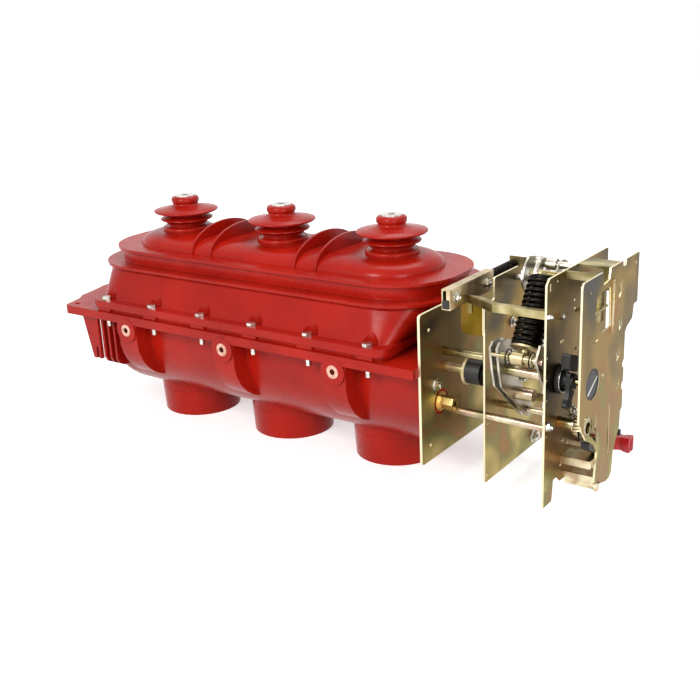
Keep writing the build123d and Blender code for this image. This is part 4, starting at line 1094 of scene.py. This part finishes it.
@dataclass
class ShaftTrain:
    """Main shaft with its bearing, latch and position disc."""

    palette: Palette
    shaft: tuple[float, float] = (-108.5, 210.4)
    rivet: tuple[float, float] = (-108, 201)
    hub_centre: tuple[float, float] = (-80, 187)

    def turned_shaft(self) -> None:
        """Turns the stepped main shaft."""
        y, z = self.shaft
        steps = [(0, 439), (6.6, 439), (7.5, 440), (7.5, 541), (4.2, 541.6), (4.2, 571), (0, 571)]
        bar = Workpiece().turned(Axis.X, (0, y, z), steps, 40)
        shown = bar.deliver("stepped_shaft", Body.MAIN_SHAFT, "passivated_steel", self.palette.rod)
        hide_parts("main_shaft")

    def bearing(self) -> None:
        """Turns the flanged bearing and its snap ring."""
        y, z = self.shaft
        flange = [(7.6, 531), (18.6, 531), (19.4, 532), (19.4, 536), (18.6, 537), (16.2, 537), (15.6, 536)]
        sleeve = [(15.2, 533), (11.5, 533), (11, 539.4), (10.2, 540), (7.6, 540)]
        ring = Workpiece().turned(Axis.X, (0, y, z), flange + sleeve, 48)
        shown = ring.deliver("flanged_bearing", Body.FRAME, "black_plastic", self.palette.black)
        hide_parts("shaft_bearing")
        loop = []
        for k in range(16):
            t = math.tau * k / 16
            loop.append((537.6, y + 17.4 * math.cos(t), z + 17.4 * math.sin(t)))
        wire = Workpiece().bent_rod(loop, 0.8, closed=True)
        wire.deliver("bearing_snap_ring", Body.FRAME, "fastener", self.palette.fastener)

    def latch(self) -> None:
        """Cuts the black latch with its upper block, lever and rivet."""
        block = eased([(-127, 231), (-103, 221), (-101, 243), (-126, 252)], 3)
        lever = eased([(-118, 224), (-102, 217), (-100, 209), (-104, 194), (-112, 184), (-110, 178),
                       (-128, 178), (-131, 184), (-124, 190), (-120, 200)], 3)
        arm = Workpiece().cut_sheet(Axis.X, lever, 544, 550, 0.7).cut_sheet(Axis.X, block, 541, 553, 0.8)
        arm.turned(Axis.X, (0, *self.shaft), [(4.4, 540), (10, 540), (10, 552), (9, 553), (4.4, 553)], 36)
        shown = arm.deliver("latch_arm", Body.FRAME, "black_plastic", self.palette.black)
        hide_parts("latch_lever")
        head = [(1.6, 550), (3.6, 550), (3.6, 552), (3, 552.6), (1.6, 552.6)]
        eye = Workpiece().turned(Axis.X, (0, *self.rivet), head, 24)
        eye.deliver("latch_rivet", Body.FRAME, "fastener", self.palette.fastener)

    def pointer(self) -> None:
        """Cuts the white pointer and rim of the position disc."""
        y, z = self.shaft
        ends = [(y + 15.5, z + 7.2), (y + 16.8, z + 5.2), (y - 11.2, z - 12.6), (y - 14.5, z - 11.0),
                (y - 12.5, z - 8.8)]
        mark = Workpiece().cut_sheet(Axis.X, ends, 574.9, 575.3, 0.08)
        mark.deliver("disc_pointer", Body.MAIN_SHAFT, "black_plastic", self.palette.white)
        lip = [(18.2, 574.9), (19.7, 574.9), (19.9, 575.4), (19.3, 575.7), (18.6, 575.6), (18.2, 575.2)]
        rim = Workpiece().turned(Axis.X, (0, y, z), lip, 56)
        rim.deliver("disc_rim", Body.MAIN_SHAFT, "black_plastic", self.palette.black)

    def hub(self) -> None:
        """Turns the cream washer and the collars of the drive hub."""
        ring = [(8, 381.4), (19.5, 381.4), (20, 382), (20, 384.4), (19.5, 385), (8, 385)]
        washer = Workpiece().turned(Axis.X, (0, *self.hub_centre), ring, 48)
        washer.deliver("hub_washer", Body.FRAME, "black_plastic", self.palette.cream)
        steps = [(0, 349), (7, 349), (7, 372), (9.5, 373), (9.5, 381.4), (0, 381.4)]
        pin = Workpiece().turned(Axis.X, (0, *self.hub_centre), steps, 32)
        pin.deliver("hub_spindle", Body.FRAME, "fastener", self.palette.bracket)

    def build(self) -> None:
        """Builds the train."""
        self.turned_shaft()
        self.bearing()
        self.latch()
        self.pointer()
        self.hub()


@dataclass
class HandleDrive:
    """Fluted socket of the removable handle and the push button under it."""

    palette: Palette
    handle: tuple[float, float] = (-108.0, 150.0)
    button_centre: tuple[float, float] = (16.5, 82)
    flutes: int = 16
    drum_radius: float = 14.6
    flute_depth: float = 1.3
    hexagon_radius: float = 8.6

    def socket(self) -> None:
        """Mills the flutes and the hexagon hole of the socket."""
        y, z = self.handle
        outer = []
        for k in range(self.flutes * 6):
            t = math.tau * k / (self.flutes * 6)
            radius = self.drum_radius - self.flute_depth * max(0.0, math.cos(self.flutes * t)) ** 2
            outer.append((y + radius * math.cos(t), z + radius * math.sin(t)))
        hexagon = []
        for k in range(6):
            t = math.tau * k / 6
            hexagon.append((y + self.hexagon_radius * math.cos(t), z + self.hexagon_radius * math.sin(t)))
        drum = Workpiece().pierced_sheet(outer, [hexagon], 556, 571.5, 0.5)
        drum.turned(Axis.X, (0, y, z), [(0, 516), (7.4, 516), (8, 517), (8, 552), (11, 553), (11, 564),
                                        (0, 564)], 40)
        shown = drum.deliver("fluted_socket", Body.HANDLE_SHAFT, "passivated_steel", self.palette.rod)
        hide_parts("handle_shaft")

    def button(self) -> None:
        """Lofts the waisted push button with its hollow face."""
        y, z = self.button_centre

        def section(x: float, half_y: float, half_z: float) -> list[tuple[float, float, float]]:
            """Draws one rounded section across X."""
            loop = eased([(-half_y, -half_z), (half_y, -half_z), (half_y, half_z), (-half_y, half_z)], 2.2, 4)
            return [(x, y + a, z + b) for a, b in loop]
        stations = [(557, 7, 9.8), (558, 8, 10.8), (565, 7.8, 10.4), (569, 7.2, 9.6), (572, 7.2, 9.6),
                    (575.5, 7.8, 10.6), (583.8, 8.6, 11.4), (585, 7.8, 10.8), (585, 6.2, 9.2),
                    (582.4, 5.2, 8)]
        head = Workpiece().lofted([section(*s) for s in stations])
        head.turned(Axis.X, (0, y, z), [(0, 513), (4, 513), (4, 559), (0, 559)], 32)
        shown = head.deliver("waisted_button", Body.PUSH_BUTTON, "red_plastic", self.palette.red)
        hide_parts("push_button")

    def build(self) -> None:
        """Builds both."""
        self.socket()
        self.button()


@dataclass
class SmallHardware:
    """Levers, hooks, nuts, clips and rails that fill the mechanism."""

    palette: Palette
    setter: HeadSetter
    middle_face: float = 416
    bearing_face: float = 531
    foot_pin: tuple[float, float] = (-131, 237)

    def nut(self, work: Workpiece, x: float, y: float, z: float, across: float, washer: float,
            height: float) -> None:
        """Puts a hexagon nut on its washer, facing along X.

        Args:
            work: Workpiece that gets it.
            x: Face that it sits on.
            y: Its centre.
            z: Its centre.
            across: Radius over the corners.
            washer: Radius of the washer.
            height: Height of the nut.
        """
        work.turned(Axis.X, (x, y, z), [(0, 0), (washer, 0), (washer, 1), (washer - 0.4, 1.4), (0, 1.4)], 32)
        hexagon = [(0, 0), (across, 0), (across, height - 0.8), (across - 0.9, height), (0, height)]
        work.turned(Axis.X, (x + 1.4, y, z), hexagon, 6, 12.0)
        end = height + 2.6
        thread = [(0, 0), (across * 0.45, 0), (across * 0.45, height + 2), (across * 0.35, end), (0, end)]
        work.turned(Axis.X, (x + 1.4, y, z), thread, 20)

    def nuts(self) -> None:
        """Sets the nuts and bolts of the plates."""
        work = Workpiece()
        for y, z in ((-125.7, 305.0), (-39.4, 304.0)):
            self.nut(work, 390, y, z, 5.6, 7.4, 4.0)
        for y, z in ((-145.8, 303.0), (-109.2, 294.0)):
            self.nut(work, self.bearing_face, y, z, 4.2, 4.2, 2.4)
        self.nut(work, self.bearing_face, -142.6, 156, 5.2, 6.4, 4.2)
        self.nut(work, self.bearing_face, -67.7, 154.7, 4.8, 6.0, 3.6)
        self.nut(work, self.bearing_face, -62.1, 143.0, 3.6, 4.6, 3.0)
        self.nut(work, self.middle_face, -14.6, 244.8, 5.4, 7.2, 4.0)
        self.nut(work, self.middle_face, 60.5, 43.4, 8.5, 11.0, 6.0)
        self.nut(work, self.middle_face, 20, 150, 5.4, 7.2, 4.0)
        for y, z in ((-119.4, 173.3), (119.4, 173.3)):
            work.turned(Axis.X, (357, y, z), [(0, 0), (4, 0), (4, 4.5), (3.2, 5.2), (0, 5.2)], 24)
        work.deliver("hexagon_nuts", Body.FRAME, "fastener", self.palette.fastener)

    def rivets(self) -> None:
        """Sets small rivets on the plates."""
        spots = [(531.4, -57.0, 236.0), (531.4, -96.0, 120.0), (531.4, -80.0, 110.0), (531.4, -100.0, 86.0),
                 (531.4, -88.0, 172.0)]
        heads = self.setter.set(spots, 2.4, 1.5, 0.9, Axis.X, self.palette.bracket)
        settle("plate_rivets", heads, Body.FRAME, self.palette.bracket)

    def levers(self) -> None:
        """Cuts the curved levers behind the bearing plate and their pins."""
        work = Workpiece()
        cam = eased([(-26, 300), (-31, 310), (-20, 331), (-8, 340), (12, 336), (30, 326), (32, 316),
                     (18, 312), (6, 318), (-4, 322), (-12, 312), (-4, 296), (6, 288), (-2, 283),
                     (-16, 288)], 5)
        work.cut_sheet(Axis.X, cam, 436, 439, 0.4)
        work.cut_sheet(Axis.X, [(a + 7, b - 2) for a, b in cam], 449, 452, 0.4)
        hook = eased([(-56, 318), (-58, 330), (-46, 345), (-30, 347), (-16, 340), (-14, 332), (-24, 330),
                      (-34, 336), (-42, 326), (-40, 316), (-48, 312)], 4)
        work.cut_sheet(Axis.X, hook, 470, 473, 0.4)
        work.cut_sheet(Axis.X, [(a + 12, b - 3) for a, b in hook], 492, 495, 0.4)
        work.turned(Axis.X, (0, 0, 306), [(0, 412), (4.5, 412), (4.5, 456), (3.8, 457), (0, 457)], 28)
        work.turned(Axis.X, (0, 14, 326), [(0, 434), (9, 434), (9.5, 435), (9.5, 447), (9, 448), (0, 448)],
                    32)
        work.turned(Axis.X, (0, -30, 338), [(0, 466), (5, 466), (5, 528), (0, 528)], 28)
        work.turned(Axis.X, (0, -30, 338), [(0, 476), (8, 476), (8, 490), (0, 490)], 28)
        self.nut(work, 457, 0, 306, 6, 7.5, 4)
        work.deliver("curved_levers", Body.FRAME, "galvanised_steel", self.palette.bright_zinc)

    def hooks(self) -> None:
        """Bends the hooks of the return spring and the wire clips."""
        work = Workpiece()
        work.bent_rod([(383.5, 52, 309), (383.5, 57, 312), (383.5, 60, 315), (383.5, 64, 316),
                       (383.5, 68, 312), (383.5, 66, 306), (383.5, 60, 306)], 1.2)
        work.bent_rod([(383.5, -18, 309), (383.5, -22, 311), (383.5, -27, 311), (383.5, -30, 308)], 1.2)
        for x in (470.0, 503.0):
            loop = []
            for k in range(14):
                t = math.tau * k / 14
                loop.append((x, self.foot_pin[0] + 10.5 * math.cos(t), self.foot_pin[1] + 10.5 * math.sin(t)))
            work.bent_rod(loop, 1.0, closed=True)
        work.bent_rod([(566, -126, 150), (566, -124, 141), (566, -118, 134), (566, -108, 128),
                       (566, -96, 126), (566, -90, 124)], 1.3)
        work.deliver("wire_hooks", Body.FRAME, "spring_black", self.palette.spring)

    def clips(self) -> None:
        """Cuts the black clip under the handle socket, and a black block at the channel's end that is painted
        shade standing where the inside of the channel lies in shadow.
        """
        body = eased([(-106, 127), (-84, 117), (-66, 108), (-64, 100), (-80, 104), (-104, 117)], 2.5)
        work = Workpiece().cut_sheet(Axis.X, body, 561, 573, 0.8)
        work.cut_sheet(Axis.X, eased([(5, 96), (12, 96), (12, 104), (5, 104)], 1.5), 560, 571, 0.6)
        # Painted shade: this black block fills the place where the open inside of the channel is in shadow.
        work.cut_sheet(Axis.X, eased([(-143.5, 292), (-138, 292), (-138, 306), (-143.5, 303)], 1.5), 379,
                       388, 0.6)
        work.deliver("black_clips_and_painted_channel_shade", Body.FRAME, "black_plastic", self.palette.black)

    def rails(self) -> None:
        """Cuts the folded rails under the socket and the window's inner strips."""
        work = Workpiece()
        work.cut_sheet(Axis.Z, eased([(531, -98), (573, -98), (573, -60), (531, -60)], 1.5), 96, 99, 0.4)
        work.cut_sheet(Axis.Y, eased([(531, 88), (573, 88), (573, 99), (531, 99)], 1.5), -100, -97, 0.4)
        work.turned(Axis.X, (0, -80, 56), [(0, 531), (5, 531), (5, 572), (7, 573), (7, 576), (0, 576)], 28)
        work.cut_sheet(Axis.Z, eased([(545, -100), (573, -100), (573, -58), (545, -58)], 1.5), 299, 302, 0.4)
        work.cut_sheet(Axis.X, eased([(-74, 280), (-58, 280), (-58, 322), (-74, 322)], 1.5), 564, 567, 0.4)
        work.deliver("folded_rails", Body.FRAME, "passivated_steel", self.palette.bracket)

    def build(self) -> None:
        """Builds all of it."""
        self.nuts()
        self.rivets()
        self.levers()
        self.hooks()
        self.clips()
        self.rails()


@dataclass
class Studio:
    """Pale floor, soft lamps and the camera at the photograph's angle."""

    camera_m: tuple[float, float, float] = (1.04743, -1.27868, 0.68344)
    right: tuple[float, float, float] = (0.817974, 0.573708, -0.042160)
    up: tuple[float, float, float] = (-0.150896, 0.284710, 0.946663)
    back: tuple[float, float, float] = (0.555111, -0.767984, 0.319456)
    lens_mm: float = 53.54
    floor_radius_m: float = 7.0
    floor_gap_m: float = 0.0005

    def place_camera(self) -> None:
        """Sets the camera."""
        data = bpy.data.cameras.new("camera")
        data.sensor_width = 36.0
        data.lens = self.lens_mm
        camera = bpy.data.objects.new("camera", data)
        turn = Matrix((self.right, self.up, self.back)).transposed()
        camera.matrix_world = Matrix.Translation(self.camera_m) @ turn.to_4x4()
        bpy.context.scene.collection.objects.link(camera)
        bpy.context.scene.camera = camera

    def lamp(self, name: str, spot: tuple[float, float, float], aim: tuple[float, float, float], size: float,
             watts: float) -> None:
        """Hangs one square soft lamp.

        Args:
            name: Name of the lamp.
            spot: Place in metres.
            aim: Point that it faces.
            size: Side of the square in metres.
            watts: Its power.
        """
        data = bpy.data.lights.new(name, "AREA")
        data.shape = "SQUARE"
        data.size = size
        data.energy = watts
        holder = bpy.data.objects.new(name, data)
        holder.location = spot
        holder.rotation_mode = "QUATERNION"
        holder.rotation_quaternion = (Vector(aim) - Vector(spot)).to_track_quat("-Z", "Y")
        bpy.context.scene.collection.objects.link(holder)

    def seen(self, tree: bpy.types.NodeTree) -> bpy.types.NodeSocket:
        """Adds up the rays that show the background.

        Args:
            tree: Node tree of the floor or the world.

        Returns:
            One for camera, mirror and glass rays, otherwise nought.
        """
        path = put(tree, "ShaderNodeLightPath").outputs
        mirror = put(tree, "ShaderNodeMath", {0: path["Is Camera Ray"], 1: path["Is Glossy Ray"]},
                     operation="ADD")
        glass = put(tree, "ShaderNodeMath", {0: mirror.outputs[0], 1: path["Is Transmission Ray"]},
                    operation="ADD")
        return put(tree, "ShaderNodeMath", {0: glass.outputs[0], 1: 1.0}, operation="MINIMUM").outputs[0]

    def lay_floor(self) -> None:
        """Lays a round pale floor that glows white towards the camera and still takes the shadow."""
        material = bpy.data.materials.new("pale_floor")
        material.use_nodes = True
        tree = material.node_tree
        tree.nodes.clear()
        matt = put(tree, "ShaderNodeBsdfDiffuse", {"Color": (0.8, 0.8, 0.8, 1.0)})
        place = put(tree, "ShaderNodeTexCoord").outputs["Object"]
        away = put(tree, "ShaderNodeVectorMath", {0: place}, operation="LENGTH")
        spread = put(tree, "ShaderNodeMapRange", {0: away.outputs["Value"], 1: 0.7, 2: 2.0, 3: 0.55, 4: 1.0})
        glow = put(tree, "ShaderNodeMath", {0: self.seen(tree), 1: spread.outputs[0]}, operation="MULTIPLY")
        light = put(tree, "ShaderNodeEmission", {"Color": (1, 1, 1, 1), "Strength": glow.outputs[0]})
        both = put(tree, "ShaderNodeAddShader", {0: matt.outputs[0], 1: light.outputs[0]})
        put(tree, "ShaderNodeOutputMaterial", {0: both.outputs[0]})
        disc = bmesh.new()
        bmesh.ops.create_circle(disc, cap_ends=True, segments=96, radius=self.floor_radius_m)
        data = bpy.data.meshes.new("floor")
        disc.to_mesh(data)
        disc.free()
        data.materials.append(material)
        floor = bpy.data.objects.new("floor", data)
        floor.location = (0, 0, -self.floor_gap_m)
        bpy.context.scene.collection.objects.link(floor)

    def light(self) -> None:
        """Sets the world and the lamps."""
        world = bpy.data.worlds.new("studio")
        bpy.context.scene.world = world
        world.use_nodes = True
        tree = world.node_tree
        tree.nodes.clear()
        level = put(tree, "ShaderNodeMapRange", {0: self.seen(tree), 1: 0.0, 2: 1.0, 3: 0.35, 4: 1.0})
        sky = put(tree, "ShaderNodeBackground", {"Color": (1, 1, 1, 1), "Strength": level.outputs[0]})
        put(tree, "ShaderNodeOutputWorld", {0: sky.outputs[0]})
        self.lamp("key", (-0.1, -2.2, 1.5), (0.0, 0.0, 0.2), 1.0, 40.0)
        self.lamp("side", (1.9, -1.2, 0.9), (0.3, 0.0, 0.2), 0.8, 14.0)
        self.lamp("top", (0.1, 0.6, 2.0), (0.1, 0.0, 0.3), 1.2, 18.0)

    def build(self) -> None:
        """Sets up the whole studio."""
        self.place_camera()
        self.lay_floor()
        self.light()
        bpy.context.scene.view_settings.view_transform = "Standard"


def main() -> None:
    """Builds the looks in order."""
    logging.basicConfig(level=logging.INFO, format="%(name)s: %(message)s")
    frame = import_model()
    palette = Palette()
    Dresser(frame["nodes"], palette).dress()
    TankDetails(palette).build()
    PlateShop(palette).build()
    Springs(palette, SpringWinder()).build()
    ShaftTrain(palette).build()
    HandleDrive(palette).build()
    SmallHardware(palette, HeadSetter()).build()
    Studio().build()


if __name__ == "__main__":
    main()
